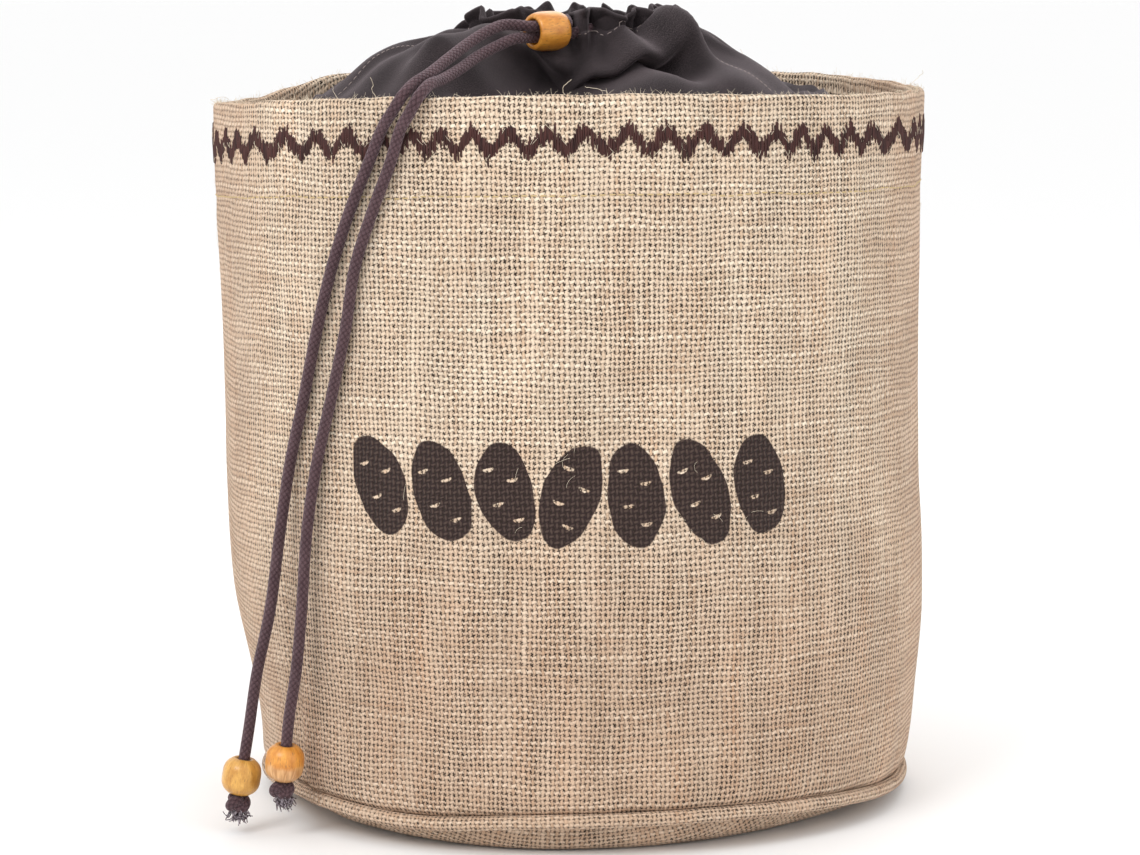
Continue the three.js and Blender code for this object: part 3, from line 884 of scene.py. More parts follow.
def side_wrinkle(angle, height):
    """How far the cloth stands off at a place: slow folds, pucker at the stitching and
    short ripples over the piping."""
    across = math.radians(angle) * BAG_RADIUS
    foot, rim = ends_at(angle)
    slow = 0.75 * ripple((across, height), (26 * MM, 90 * MM), 3.0)
    slow += 0.35 * ripple((across, height), (60 * MM, 26 * MM), 9.0)
    hem_line = rim - HEM_DEPTH
    stitched = -0.45 * near(height, hem_line, 1.6 * MM)
    pucker = 0.30 * near(height, hem_line, 5 * MM) * ripple((across, 0), (9 * MM, 1), 17.0)
    trim = 0.25 * near(height, rim - TRIM_BELOW_RIM, 7 * MM) * ripple((across, 0), (8 * MM, 1), 23.0)
    low = math.exp(-(height - foot) / (16 * MM))
    gathers = 0.8 * low * ripple((across, height), (11 * MM, 60 * MM), 29.0)
    return (slow + stitched + pucker + trim + gathers) * MM + tucked(angle, height)


def rim_wave(angle, height):
    """How far the rim rises and falls in short waves, which die out below it."""
    share = math.exp(-max(0.0, ends_at(angle)[1] - height) / (6 * MM))
    return share * 0.7 * MM * ripple((math.radians(angle) * BAG_RADIUS, 0), (14 * MM, 1), 41.0)


side_spots = points_of(side_mesh)
for index, spot in enumerate(side_spots):
    angle = angle_of(spot)
    height = spot[2]
    side_spots[index] += np.array(polar(angle, side_wrinkle(angle, height), rim_wave(angle, height)))
move_points(side_mesh, side_spots)
lay_cloth(side_mesh, up_the_side)
side = as_piece("jute_side", side_mesh, "jute", "jute_side_wall")
side_mesh.materials.append(side_finish)
print("jute_side:", len(side_mesh.polygons), "faces")

# %% [markdown]
# ## Piping and base
# The piping is a cord covered in the same jute, and the base is a round of jute turned up
# to it. Both are spun in the same way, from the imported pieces' own middle lines.

# %% Piping
WELT_RADIUS = 3 * MM
WELT_SIDES = 12
WELT_SIZE = WELT_RADIUS * 0.88
WELT_OUT = 0.9 * MM
BASE_INTO_WELT = 1.0 * MM

WELT_LINE = {}
for column, corners in corners_by_column("base_welt").items():
    middle = sum(corners, Vector()) / len(corners)
    WELT_LINE[column] = (math.hypot(middle.x, middle.y), middle.z)


def welt_place(angle, row):
    radius, height = WELT_LINE[column_of(angle)]
    turn = math.pi + 2 * math.pi * row / WELT_SIDES
    radius += WELT_OUT + tucked(turned(angle), height)
    spot = polar(angle, radius + WELT_SIZE * math.cos(turn), height + WELT_SIZE * math.sin(turn))
    return spot, WELT_RADIUS * (turn - math.pi)


welt_mesh = revolve("base_piping", WELT_SIDES, welt_place, closed=True, levels=1)
lay_cloth(welt_mesh, way_round)
as_piece("base_piping", welt_mesh, "jute", "base_welt")
welt_mesh.materials.append(trim_finish)
print("base_piping:", len(welt_mesh.polygons), "faces")

# %% [markdown]
# The base's section starts and ends on the axis, so its line is spun open. Its yarns run
# straight across it, because it was cut from flat cloth.

# %% Base
BASE_RINGS = 10
BASE_TURNS = 5
BASE_CURVE = 12 * MM
BASE_TOP_UNDER_WELT = 1.5 * MM
base = tree_of("base_panel")


def base_under(angle, radius):
    """Height of the base's underside."""
    hit = base.ray_cast(polar(angle, radius, -FAR), Vector((0, 0, 1)))[0]
    return hit.z if hit else None


def base_edge(angle):
    """Radius of the base's outer edge near its top."""
    height = WELT_LINE[column_of(angle)][1] - BASE_TOP_UNDER_WELT
    hit = base.ray_cast(polar(angle, FAR, height), polar(angle, -1, 0))[0]
    return math.hypot(hit.x, hit.y), height


def base_section(angle):
    """Under the base from its middle to the turned-up edge in the piping, and back
    inside."""
    edge, top = base_edge(angle)
    shift = tucked(turned(angle), top)
    flat = edge - BASE_CURVE
    under = [(flat * step / BASE_RINGS, 0.0) for step in range(BASE_RINGS + 1)]
    for step in range(1, BASE_TURNS + 1):
        radius = flat + (edge - flat) * math.sin(math.pi / 2 * step / BASE_TURNS)
        height = base_under(angle, min(radius, edge - 0.05 * MM))
        under.append((radius, top if height is None or step == BASE_TURNS else height))
    welt_radius, welt_height = WELT_LINE[column_of(angle)]
    under.append((welt_radius + WELT_OUT - BASE_INTO_WELT, welt_height + BASE_INTO_WELT))
    under = [(radius + shift * (radius / edge) ** 3, height) for radius, height in under]
    inside = [(max(0.0, radius - JUTE_THICKNESS * (radius > flat)), max(height, JUTE_THICKNESS))
              for radius, height in reversed(under)]
    return [*under, *inside]


BASE_SECTIONS = {column: base_section(column * 360 / COLUMNS) for column in range(COLUMNS)}


def base_place(angle, row):
    section = BASE_SECTIONS[column_of(angle)]
    radius, height = section[row]
    half = len(section) // 2
    last = row if row < half else len(section) - 1 - row
    along = sum(math.dist(section[k], section[k + 1]) for k in range(last))
    return polar(angle, radius, height), along


def flat_round(spots, along):
    """The base is cut flat, so its yarns run straight across it."""
    turn = np.arctan2(spots[:, 0], -spots[:, 1])
    return along * np.sin(turn), -along * np.cos(turn)


base_mesh = revolve("base_round", len(BASE_SECTIONS[0]), base_place, closed=False, levels=1)
lay_cloth(base_mesh, flat_round)
as_piece("base_round", base_mesh, "jute", "base_panel")
base_mesh.materials.append(trim_finish)
print("base_round:", len(base_mesh.polygons), "faces")

# %% [markdown]
# ## The zigzag trim
# A band of satin stitch runs round the bag under the rim: close upright threads, each one
# long stitch, whose height follows a zigzag of sixty-two teeth, uneven at the front. It
# could be drawn in the jute's material, but the real threads stand off the cloth and
# their ends are ragged, so every stitch is a thin spindle laid on the finished cloth.

# %% Satin stitches
# Where the teeth point up, in degrees; sewn by hand, so uneven. The back goes on evenly
FRONT_PEAKS = (
    -68.8, -63.4, -56.1, -47.8, -41.0, -35.1, -28.9, -24.0, -19.2, -14.7, -9.1, -3.1,
    2.2, 8.7, 14.4, 20.1, 26.5, 32.5, 36.9, 42.0, 47.3, 52.8, 61.7, 70.6,
)
BACK_TEETH = 39
TOOTH_HALF_HEIGHT = 3.1 * MM
STITCH_HEIGHT = 6.4 * MM
SATIN_STEP = 0.56 * MM
SATIN_RADIUS = 0.36 * MM
# In millimetres: how ragged the stitches' ends are, how far the ends are from where a
# stitch lies flat, and how high its five points lie off the cloth
RAGGED = 0.9
STITCH_END = 0.9
SATIN_LIFTS = (-0.3, 0.10, 0.22, 0.10, -0.3)
THREAD_GRAIN = (1500, 1500, 90)
THREAD_DARK = (0.020, 0.006, 0.005)
THREAD_LIGHT = (0.105, 0.034, 0.028)
chance = random.Random(7)


def skin_of(piece):
    """A tree of a finished piece, for laying threads on it."""
    bm = bmesh.new()
    bm.from_mesh(piece.data)
    tree = BVHTree.FromBMesh(bm)
    bm.free()
    return tree


side_skin = skin_of(side)


def on_side(angle, height, lift=0.0):
    """A point on the outside of the finished side, lifted off it by that much."""
    hit = side_skin.ray_cast(polar(angle, FAR, height), polar(angle, -1, 0))[0]
    return polar(angle, math.hypot(hit.x, hit.y) + lift, height)


def around(metres):
    """An angle in degrees for a way round the bag."""
    return metres / BAG_ROUND * 360


def spindle(points, thin=0.25):
    """Points with a radius factor that falls to thin at both ends."""
    last = len(points) - 1
    return [(*point, 1 if 0 < index < last else thin) for index, point in enumerate(points)]


BACK_WAY = 360 + FRONT_PEAKS[0] - FRONT_PEAKS[-1]
PEAKS = [*FRONT_PEAKS, *(FRONT_PEAKS[-1] + BACK_WAY * step / BACK_TEETH for step in range(1, BACK_TEETH + 1))]


def tooth_height(angle):
    """The zigzag's rise above its middle line."""
    place = (angle - PEAKS[0]) % 360 + PEAKS[0]
    tooth = min(bisect.bisect_right(PEAKS, place), len(PEAKS) - 1)
    phase = (place - PEAKS[tooth - 1]) / (PEAKS[tooth] - PEAKS[tooth - 1])
    pointed = 4 * abs(phase - 0.5) - 1
    return TOOTH_HALF_HEIGHT * (pointed + math.sin(math.pi / 2 * pointed)) / 2


satin = []
for number in range(round(BAG_ROUND / SATIN_STEP)):
    angle = around(number * SATIN_STEP) + chance.uniform(-0.06, 0.06)
    middle = ends_at(angle)[1] - TRIM_BELOW_RIM + tooth_height(angle)
    top = middle + STITCH_HEIGHT / 2 + chance.gauss(0, RAGGED) * MM
    foot = middle - STITCH_HEIGHT / 2 + chance.gauss(0, RAGGED) * MM
    lean = chance.uniform(-0.12, 0.12)
    heights = (foot, foot + STITCH_END * MM, middle, top - STITCH_END * MM, top)
    satin.append(spindle([on_side(angle + lean * (height - middle) / MM * 0.3, height, lift * MM)
                          for height, lift in zip(heights, SATIN_LIFTS)]))
satin_mesh = tubes("zigzag_satin", satin, SATIN_RADIUS, capped=False)

thread = Finish("satin_thread", Roughness=0.55, Specular_IOR_Level=0.35)
place = thread.node("ShaderNodeTexCoord", out=3)
stretched = thread.node("ShaderNodeVectorMath", {"operation": "MULTIPLY"}, {0: place, 1: THREAD_GRAIN})
streak = thread.node("ShaderNodeTexNoise", inputs={"Vector": stretched, "Scale": 1.0, "Detail": 2.0})
thread.paint(Base_Color=thread.mix((streak - 0.3) * 2.0, THREAD_DARK, THREAD_LIGHT))
satin_mesh.materials.append(thread.material)
as_piece("zigzag_satin", satin_mesh, "jute")
print("zigzag_satin:", len(satin), "stitches,", len(satin_mesh.polygons), "faces")

# %% [markdown]
# ## Stitching of the hem
# One row of straw-coloured lockstitch holds the turned-in rim. Each stitch is a short
# spindle that dives into the cloth at both ends.

# %% Hem stitches
STITCH_LENGTH = 2.7 * MM
STITCH_STEP = 3.2 * MM
STITCH_RADIUS = 0.27 * MM
STITCH_OVER_HEM = 0.5 * MM
# A stitch's points: the share of its length, and millimetres off the cloth
HEM_STITCH = ((0, -0.35), (0.25, 0.12), (0.75, 0.12), (1, -0.35))

hem_stitches = []
for number in range(round(BAG_ROUND / STITCH_STEP)):
    start = number * STITCH_STEP + chance.uniform(-0.15, 0.15) * MM
    wobble = noise.noise(Vector((number * 0.21, 8.0, 0))) * 0.9 * MM
    spots = []
    for share, lift in HEM_STITCH:
        angle = around(start + share * STITCH_LENGTH)
        height = ends_at(angle)[1] - HEM_DEPTH + STITCH_OVER_HEM + wobble
        spots.append(on_side(angle, height, lift * MM))
    hem_stitches.append(spindle(spots, 0.5))
stitch_mesh = tubes("hem_stitches", hem_stitches, STITCH_RADIUS, capped=False)
straw = Finish("straw_thread", Base_Color=(0.56, 0.42, 0.22, 1), Roughness=0.75)
stitch_mesh.materials.append(straw.material)
as_piece("hem_stitches", stitch_mesh, "jute")
print("hem_stitches:", len(hem_stitches))

# %% [markdown]
# ## The lining
# The black cotton lining is a straight band of cloth. Its lower edge is sewn inside the
# jute under the hem, and its upper edge is a casing that the cord draws together, so the
# cloth between them slopes inwards in folds. The profile, the pleats and the first large
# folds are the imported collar's own, and further folds draw the cloth in under the toggle
# and lower its shoulders. Round the neck a few folds stand tall, and below them the cloth
# hangs over. Finer gathers start at the casing and run out down the slope, and the
# casing's edge is folded over and down inside.

# %% Shape of the lining
LINING_THICKNESS = 0.7 * MM
LINING_OVERLAP = 32
COLLAR_RISE = 28
NECK_HALF_WIDTH = 33
NECK_HALF_DEPTH = 29
NECK_FORWARD = 10
PLEAT_DEPTH = 5.5
CASING_DEPTH = 11
CASING_INSIDE = 2.2
LINING_COLUMNS = 300
LINING_ROWS = 76
LAST_PLACE = 12
FOLDED_PLACE = 14
BAG_HEIGHT = 259
PACKED_HALF_THICKNESS = 0.6

# Reach is 0 at the neck and 1 at the rim, rise a share of the collar's (below the rim a
# share of the overlap), and pleat the share of the pleats' depth
COLLAR_ROWS = {
    "reach": (1.000, 0.975, 0.850, 0.710, 0.590, 0.480, 0.370, 0.260, 0.150, 0.050, 0.000, 0.010, 0.035),
    "rise": (-1.00, -0.90, -0.60, -0.22, 0.10, 0.34, 0.46, 0.57, 0.68, 0.72, 0.78, 0.89, 1.00),
    "pleat": (0.00, 0.00, 0.06, 0.16, 0.30, 0.45, 0.60, 0.80, 0.90, 0.85, 0.70, 0.90, 1.10),
}
# Each pleat's angle, half width and share of the pleats' height
PLEATS = (
    (-172, 12, 1.0), (-150, 10, 0.8), (-131, 10, 1.1), (-110, 11, 0.8), (-92, 9, 1.0), (-72, 10, 1.2),
    (-54, 9, 0.9), (-37, 9, 1.3), (-18, 8, 0.5), (1, 8, 0.1), (22, 10, 0.9), (41, 10, 1.3),
    (60, 9, 0.9), (79, 10, 1.2), (99, 10, 0.8), (118, 9, 1.1), (138, 11, 0.9), (160, 11, 1.2),
)
# Each large fold's angle, half width, reach, half length along the reach, and rise
COLLAR_FOLDS = (
    (34, 24, 0.42, 0.20, -0.30), (24, 20, 0.26, 0.14, -0.20), (-32, 18, 0.42, 0.20, 0.20),
    (-6, 26, 0.62, 0.20, -0.36), (0, 28, 0.19, 0.20, -0.46), (40, 12, 0.20, 0.20, 0.14),
    (-66, 16, 0.40, 0.20, 0.12), (-92, 20, 0.30, 0.20, 0.10), (86, 40, 0.62, 0.26, -0.26),
    (112, 20, 0.46, 0.24, 0.14), (165, 26, 0.50, 0.26, 0.16), (-142, 24, 0.48, 0.26, 0.14),
    (-4, 26, 0.52, 0.30, -0.34), (-7, 34, 0.40, 0.24, -0.46),
    (-88, 42, 0.45, 0.30, -0.24), (-90, 55, 0.20, 0.24, -0.18), (-85, 45, 0.02, 0.22, -0.22),
    (92, 58, 0.42, 0.36, -0.38),
)
# Tall folds round the neck: first and last angle, where they start on the slope, and how
# many millimetres they stand out
STANDING_FOLDS = (
    (3.5, 8, 8.0, 13.0), (10.5, 24, 7.6, 7.5), (27, 31, 7.8, 5.5), (33, 40, 7.4, 6.0), (-54, -37, 8.0, 5.5),
    (-80, -62, 7.4, 4.5), (-33, -6, 7.6, -3.0), (60, 74, 7.8, 4.5), (96, 120, 8.0, 4.0),
    (150, 172, 7.6, 4.0), (-128, -104, 7.8, 4.5), (-172, -150, 8.0, 4.0),
)
# Where the cloth hangs over a hollow under the toggle, and draws back inside it: angle,
# half width, place on the slope, half length, and how many millimetres out it goes
OVERHANGS = (
    (-11, 24, 6.6, 1.7, -19.0), (-6, 15, 8.35, 0.8, 9.0), (18, 24, 6.0, 1.5, -18.0),
    (22, 30, 7.3, 1.1, 13.0), (-34, 14, 6.2, 1.4, 6.0),
)

print(len(PLEATS), "pleats,", len(COLLAR_FOLDS), "large folds and", len(STANDING_FOLDS), "standing ones")

# %% [markdown]
# Without its pleats and gathers the lining is a slope from the rim up to the neck, with a
# few large folds in it. A smooth curve through the table's rows gives the slope, and the
# neck is an oval a little in front of the bag's middle.

# %% The lining's slope


def between(column, place):
    """A value between a column's rows, on a smooth curve through them."""
    row = min(max(math.floor(place), 0), len(column) - 2)
    t = place - row
    before, start, end, after = [column[min(max(row + step, 0), len(column) - 1)] for step in (-1, 0, 1, 2)]
    bend = 2 * before - 5 * start + 4 * end - after
    twist = 3 * start - before - 3 * end + after
    return start + 0.5 * t * (end - before + t * (bend + t * twist))


def swell(offset, half):
    """A rounded bump, 1 in its middle and 0 from its edge on."""
    share = abs(offset) / half
    return 0.5 + 0.5 * math.cos(math.pi * share) if share < 1 else 0.0


HEM_GAP = (HEM_THICKNESS + SEAM_GAP) / MM + PACKED_HALF_THICKNESS
RIM_RADII = {}


def rim_radius(angle, height):
    """Inside radius for the lining behind the hem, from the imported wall."""
    key = (round(angle * 10), round(height / MM))
    if key not in RIM_RADII:
        RIM_RADII[key] = wall_radius(angle, height) / MM - HEM_GAP
    return RIM_RADII[key]


def collar_profile(angle, place):
    """Radius and height of the smooth slope, in millimetres."""
    reach = between(COLLAR_ROWS["reach"], place)
    rise = between(COLLAR_ROWS["rise"], place)
    rim_high = ends_at(angle)[1] / MM
    rim = rim_radius(angle, (rim_high - 3 + min(rise, 0) * (LINING_OVERLAP - 3)) * MM)
    turn = math.radians(angle)
    neck = 1 / math.hypot(math.sin(turn) / NECK_HALF_WIDTH, math.cos(turn) / NECK_HALF_DEPTH)
    neck += NECK_FORWARD * math.cos(turn)
    folds = sum(up * swell(turned(angle - at), wide) * swell(reach - where, along)
                for at, wide, where, along, up in COLLAR_FOLDS)
    level = BAG_HEIGHT + (rim_high - BAG_HEIGHT) * ramp(reach, 0.3, 1)
    height = level + (rise * LINING_OVERLAP if rise < 0 else (rise + folds) * COLLAR_RISE)
    return neck + (rim - neck) * reach, height


print("the slope runs from radius and height", [round(number, 1) for number in collar_profile(0, 0)],
      "to", [round(number, 1) for number in collar_profile(0, LAST_PLACE)])

# %% [markdown]
# Gathers stand out across the slope. Ridged noise, one minus the size of a noise, has
# sharp crests and wide valleys like gathered cloth. The tall folds round the neck come
# from their table instead, so that each has its own place.

# %% Gathers and folds of the lining


def gathers(angle, place):
    """Fine folds in millimetres: ridges that start at the casing and run out down the
    slope, fewer and softer the further they come."""
    turn = math.radians(angle)
    round_way = Vector((math.cos(turn), math.sin(turn), 0))
    close = noise.noise(round_way * 4.4 + Vector((0, 0, place * 0.10)))
    broad = noise.noise(round_way * 2.3 + Vector((9, 0, place * 0.16)))
    creases = noise.noise(round_way * 1.7 + Vector((0, 5, place * 0.55)))
    fine = (1 - 2.6 * abs(close)) * ramp(place, 4.5, 9.0) * 1.9
    wide = (1 - 2.4 * abs(broad)) * ramp(place, 2.2, 6.0) * (2.0 - ramp(place, 8, 12))
    return fine + wide + creases * ramp(place, 2.2, 4.0) * 1.5


def standing(angle, place):
    """How far the tall folds and the overhangs at the neck stand out, in millimetres."""
    out = sum(far * swell(turned(angle - at), wide) * swell(place - where, long)
              for at, wide, where, long, far in OVERHANGS)
    for start, end, low, stand in STANDING_FOLDS:
        across = ramp(turned(angle - start), -2.5, 2.5) * ramp(turned(end - angle), -2.5, 2.5)
        out += stand * across * ramp(place, low, low + 1.6)
    return out


def lining_point(angle, place):
    """A point of the lining: place runs from its sewn edge, past the neck's edge at 12,
    over the fold and down inside the casing to 14."""
    flat_place = min(place, LAST_PLACE)
    radius, height = collar_profile(angle, flat_place)
    before = collar_profile(angle, max(flat_place - 0.05, 0))
    after = collar_profile(angle, min(flat_place + 0.05, LAST_PLACE))
    length = math.dist(before, after)
    run, climb = (after[0] - before[0]) / length, (after[1] - before[1]) / length
    turn = math.radians(angle)
    round_way = Vector((math.cos(turn), math.sin(turn), 0))
    swaying = 9 * noise.noise(round_way * 1.3 + Vector((0, 7, flat_place * 0.25)))
    leaning = angle + swaying * ramp(flat_place, 3, 8)
    wave = sum(high * swell(turned(leaning - at), wide) for at, wide, high in PLEATS) - 0.5
    lift = wave * PLEAT_DEPTH * between(COLLAR_ROWS["pleat"], flat_place) + gathers(angle, flat_place)
    radius += standing(angle, flat_place)
    height += ramp(flat_place, 9.5, 12) * 3.0 * noise.noise(round_way * 2.4 + Vector((0, 0, 4)))
    over = max(place - LAST_PLACE, 0)
    inward = CASING_INSIDE * ramp(over, 0, 0.9)
    down = CASING_DEPTH * max(over - 0.45, 0) / 1.55 - 0.9 * swell(over - 0.42, 0.42)
    return polar(angle, (radius + lift * climb - inward) * MM, (height - lift * run - down) * MM)


def lining_place(angle, row):
    place = FOLDED_PLACE * row / (LINING_ROWS - 1)
    return lining_point(angle, place), place * 10 * MM


lining_mesh = revolve("lining_cloth", LINING_ROWS, lining_place, closed=False, levels=0,
                      columns=LINING_COLUMNS)
lay_cloth(lining_mesh, way_round)
print("lining:", len(lining_mesh.polygons), "faces")

# %% [markdown]
# The lining's thickness comes from a Solidify modifier that is applied at once, because
# its folded edge is the only place where it shows.

# %% Lining piece and its black cotton
COTTON_DARK = (0.005, 0.0035, 0.004)
COTTON_LIGHT = (0.064, 0.048, 0.052)

lining_mesh = applied(lining_mesh, "SOLIDIFY", thickness=LINING_THICKNESS, offset=0)
cotton = Finish("black_cotton", Roughness=0.85, Specular_IOR_Level=0.2, Sheen_Weight=0.25,
                Sheen_Roughness=0.45, Sheen_Tint=(0.75, 0.62, 0.66, 1))
across, up = cotton.cloth_place()
speckle = cotton.cloud(across * 2600, up * 2600, detail=2.0)
soft = cotton.cloud(across * 60, up * 60)
tone = (speckle - 0.35) * 2.2 + (soft - 0.5) * 0.6
cotton.paint(Base_Color=cotton.mix(tone, COTTON_DARK, COTTON_LIGHT))
cotton.relief(speckle, 0.10 * MM)
lining_mesh.materials.append(cotton.material)
lining = as_piece("lining_cloth", lining_mesh, "lining", "lining_collar")
print("lining_cloth:", len(lining_mesh.polygons), "faces,",
      round(sum(face.area for face in lining_mesh.polygons) / 2, 4), "m2 a layer")

# %% [markdown]
# A pale thread shows along the casing's seam, a finger's width under the folded edge, and
# down the two seams that close the band. The stitches follow the finished cloth.

# %% Lining stitches
CASING_SEAM_PLACE = 9.2
CASING_STITCHES = 150
CASING_STITCH_LENGTH = 1.9
CASING_STITCH = ((0, -0.15), (0.3, 0.12), (0.7, 0.12), (1, -0.15))
BAND_SEAMS = (50, -64)
BAND_SEAM_START = 2.6
BAND_STITCHES = 34
BAND_STITCH_STEP = 0.2
BAND_STITCH_LENGTH = 0.15
BAND_STITCH = ((0, -0.1), (0.3, 0.12), (0.7, 0.12), (1, -0.1))
THIN_THREAD_RADIUS = 0.13 * MM
lining_skin = skin_of(lining)


def on_lining(angle, place, lift):
    """A point on the outer face of the finished lining."""
    outside = lining_point(angle, place) + polar(angle, 1, 1.0).normalized() * 2 * MM
    spot, normal, _, _ = lining_skin.find_nearest(outside)
    return spot + normal * lift


lining_stitches = []
for number in range(CASING_STITCHES):
    start = number * 360 / CASING_STITCHES
    lining_stitches.append(spindle(
        [on_lining(start + share * CASING_STITCH_LENGTH, CASING_SEAM_PLACE, lift * MM)
         for share, lift in CASING_STITCH], 0.6))
for seam in BAND_SEAMS:
    for number in range(BAND_STITCHES):
        start = BAND_SEAM_START + number * BAND_STITCH_STEP
        lining_stitches.append(spindle(
            [on_lining(seam, start + share * BAND_STITCH_LENGTH, lift * MM)
             for share, lift in BAND_STITCH], 0.6))
lining_stitch_mesh = tubes("lining_stitches", lining_stitches, THIN_THREAD_RADIUS, capped=False)
pale_thread = Finish("pale_thread", Base_Color=(0.36, 0.29, 0.27, 1), Roughness=0.7)
lining_stitch_mesh.materials.append(pale_thread.material)
as_piece("lining_stitches", lining_stitch_mesh, "lining")
print("lining_stitches:", len(lining_stitches))

# %% [markdown]
# ## Wooden beads
# Turned beads are barrels with a bore, so a short profile is spun round its axis and the
# bead is then stood on its cord. The grain runs along the bore and is drawn in the bead's
# own UV map; each bead has its own tone, as cut from different wood.

# %% Beads
BEAD_SIDES = 48
BEAD_PROFILE_STEPS = 14
BEAD_ROUNDNESS = 3.5
BEAD_LIP = 1.5 * MM
BORE_GAP = 0.35 * MM
BEAD_SOFT_EDGE = 0.25 * MM
END_BEAD_DIAMETER = 13.6 * MM
END_BEAD_BORE = CORD_DIAMETER / 2 + BORE_GAP
TOGGLE_DIAMETER = 14 * MM
TOGGLE_BORE = CORD_DIAMETER + SEAM_GAP / 2 + BORE_GAP
WOOD_FLECK = (0.26, 0.10, 0.025)
BARE_WOOD = ((0.42, 0.20, 0.075), (0.76, 0.46, 0.22))
HONEY = ((0.76, 0.425, 0.095), (0.48, 0.21, 0.028))
ORANGE = ((0.79, 0.355, 0.055), (0.55, 0.19, 0.018))
# Each end bead's wood: its name, tones, how bare its lower half is, and its own noise
END_BEAD_WOODS = {
    "left": ("honey_wood", HONEY, 0.0, 3.0),
    "right": ("orange_wood", ORANGE, 0.8, 11.0),
}


def wood_finish(name, pale, deep, lower_pale=0.0, seed=0.0):
    """Varnished wood: blotches and short flecks along the grain, over two tones. The
    varnish is worn off the lower half as far as lower_pale says."""
    wood = Finish(name, Roughness=0.40, Coat_Weight=0.35, Coat_Roughness=0.22)
    across, along = wood.cloth_place()
    blotches = wood.cloud(across * 300 + seed, along * 190 + seed, detail=4.0, roughness=0.6)
    flecks = wood.cloud(across * 1900 + seed, along * 420 + seed, detail=2.0)
    tone = wood.mix((blotches - 0.30) * 2.2, deep, pale)
    tone = wood.mix((0.40 - flecks) * 4.5, tone, WOOD_FLECK)
    if lower_pale:
        lines = wood.cloud(across * 1500, along * 170, detail=2.0)
        edge = (along + (blotches - 0.5) * 2.5 * MM) / END_BEAD_LENGTH
        lower = edge.step(0.46, 0.62) * lower_pale
        tone = wood.mix(lower, tone, wood.mix((lines - 0.33) * 3.0, *BARE_WOOD))
    wood.paint(Base_Color=tone)
    wood.relief(flecks + blotches * 2, 0.05 * MM)
    return wood.material


def bead(name, node, middle, axis, diameter, length, bore, finish):
    """A barrel bead on its cord, its profile spun closed round the axis."""
    face = bore + BEAD_LIP
    profile = []
    for step in range(BEAD_PROFILE_STEPS + 1):
        share = 2 * step / BEAD_PROFILE_STEPS - 1
        radius = diameter / 2 + (face - diameter / 2) * abs(share) ** BEAD_ROUNDNESS
        profile.append((radius, share * length / 2))
    inner = [(bore + BEAD_SOFT_EDGE, length / 2), (bore, length / 2 - BEAD_SOFT_EDGE * 2),
             (bore, -length / 2 + BEAD_SOFT_EDGE * 2), (bore + BEAD_SOFT_EDGE, -length / 2)]
    bm = bmesh.new()
    corners = [bm.verts.new((radius, 0, height)) for radius, height in [*profile, *inner]]
    edges = [bm.edges.new((corners[k], corners[(k + 1) % len(corners)])) for k in range(len(corners))]
    bmesh.ops.spin(bm, geom=corners + edges, axis=(0, 0, 1), cent=(0, 0, 0), angle=2 * math.pi,
                   steps=BEAD_SIDES, use_merge=True)
    bmesh.ops.recalc_face_normals(bm, faces=bm.faces)
    layer = bm.loops.layers.uv.new("cloth")
    for polygon in bm.faces:
        centre = polygon.calc_center_median()
        middle_turn = math.atan2(centre.y, centre.x)
        for loop in polygon.loops:
            turn = math.atan2(loop.vert.co.y, loop.vert.co.x)
            turn += 2 * math.pi * round((middle_turn - turn) / (2 * math.pi))
            loop[layer].uv = (turn * diameter / 2, length / 2 - loop.vert.co.z)
    aim = Matrix.Translation(middle) @ axis.to_track_quat("Z", "Y").to_matrix().to_4x4()
    bmesh.ops.transform(bm, matrix=aim, verts=bm.verts)
    mesh = mesh_from(bm, name)
    mesh.materials.append(finish)
    return as_piece(name, mesh, "bead_wood", node)


CORD_ENDS = {name: (way[-1], (way[-4] - way[-1]).normalized()) for name, (way, _) in CORD_WAYS.items()}
for side_name, (end, upward) in CORD_ENDS.items():
    wood_name, tones, lower_pale, seed = END_BEAD_WOODS[side_name]
    bead(f"bead_{side_name}", f"end_bead_{side_name}", end + upward * END_BEAD_LENGTH / 2, upward,
         END_BEAD_DIAMETER, END_BEAD_LENGTH, END_BEAD_BORE,
         wood_finish(wood_name, *tones, lower_pale, seed))
bead("bead_toggle", "toggle_bead", TOGGLE_PLACE, TOGGLE_AXIS, TOGGLE_DIAMETER, TOGGLE_LENGTH,
     TOGGLE_BORE, wood_finish("amber_wood", *ORANGE, seed=23.0))
print("beads: left, right and toggle")

# %% [markdown]
# ## Braid, knots and frayed ends
# The braid's strands cross the cord in two slants, and where they cross a small pillow
# stands up. Two cosines over the cord's UV map give that relief, and the pillows are painted
# lighter, as a highlight. A knot is a trefoil tied so tight that its turns touch, and the
# frayed end is a bundle of curly threads.

# %% Braid
BRAID_STEP = 2.3 * MM
BRAID_ROUND = 7
BRAID_DARK = (0.040, 0.020, 0.024)
BRAID_LIGHT = (0.165, 0.100, 0.110)


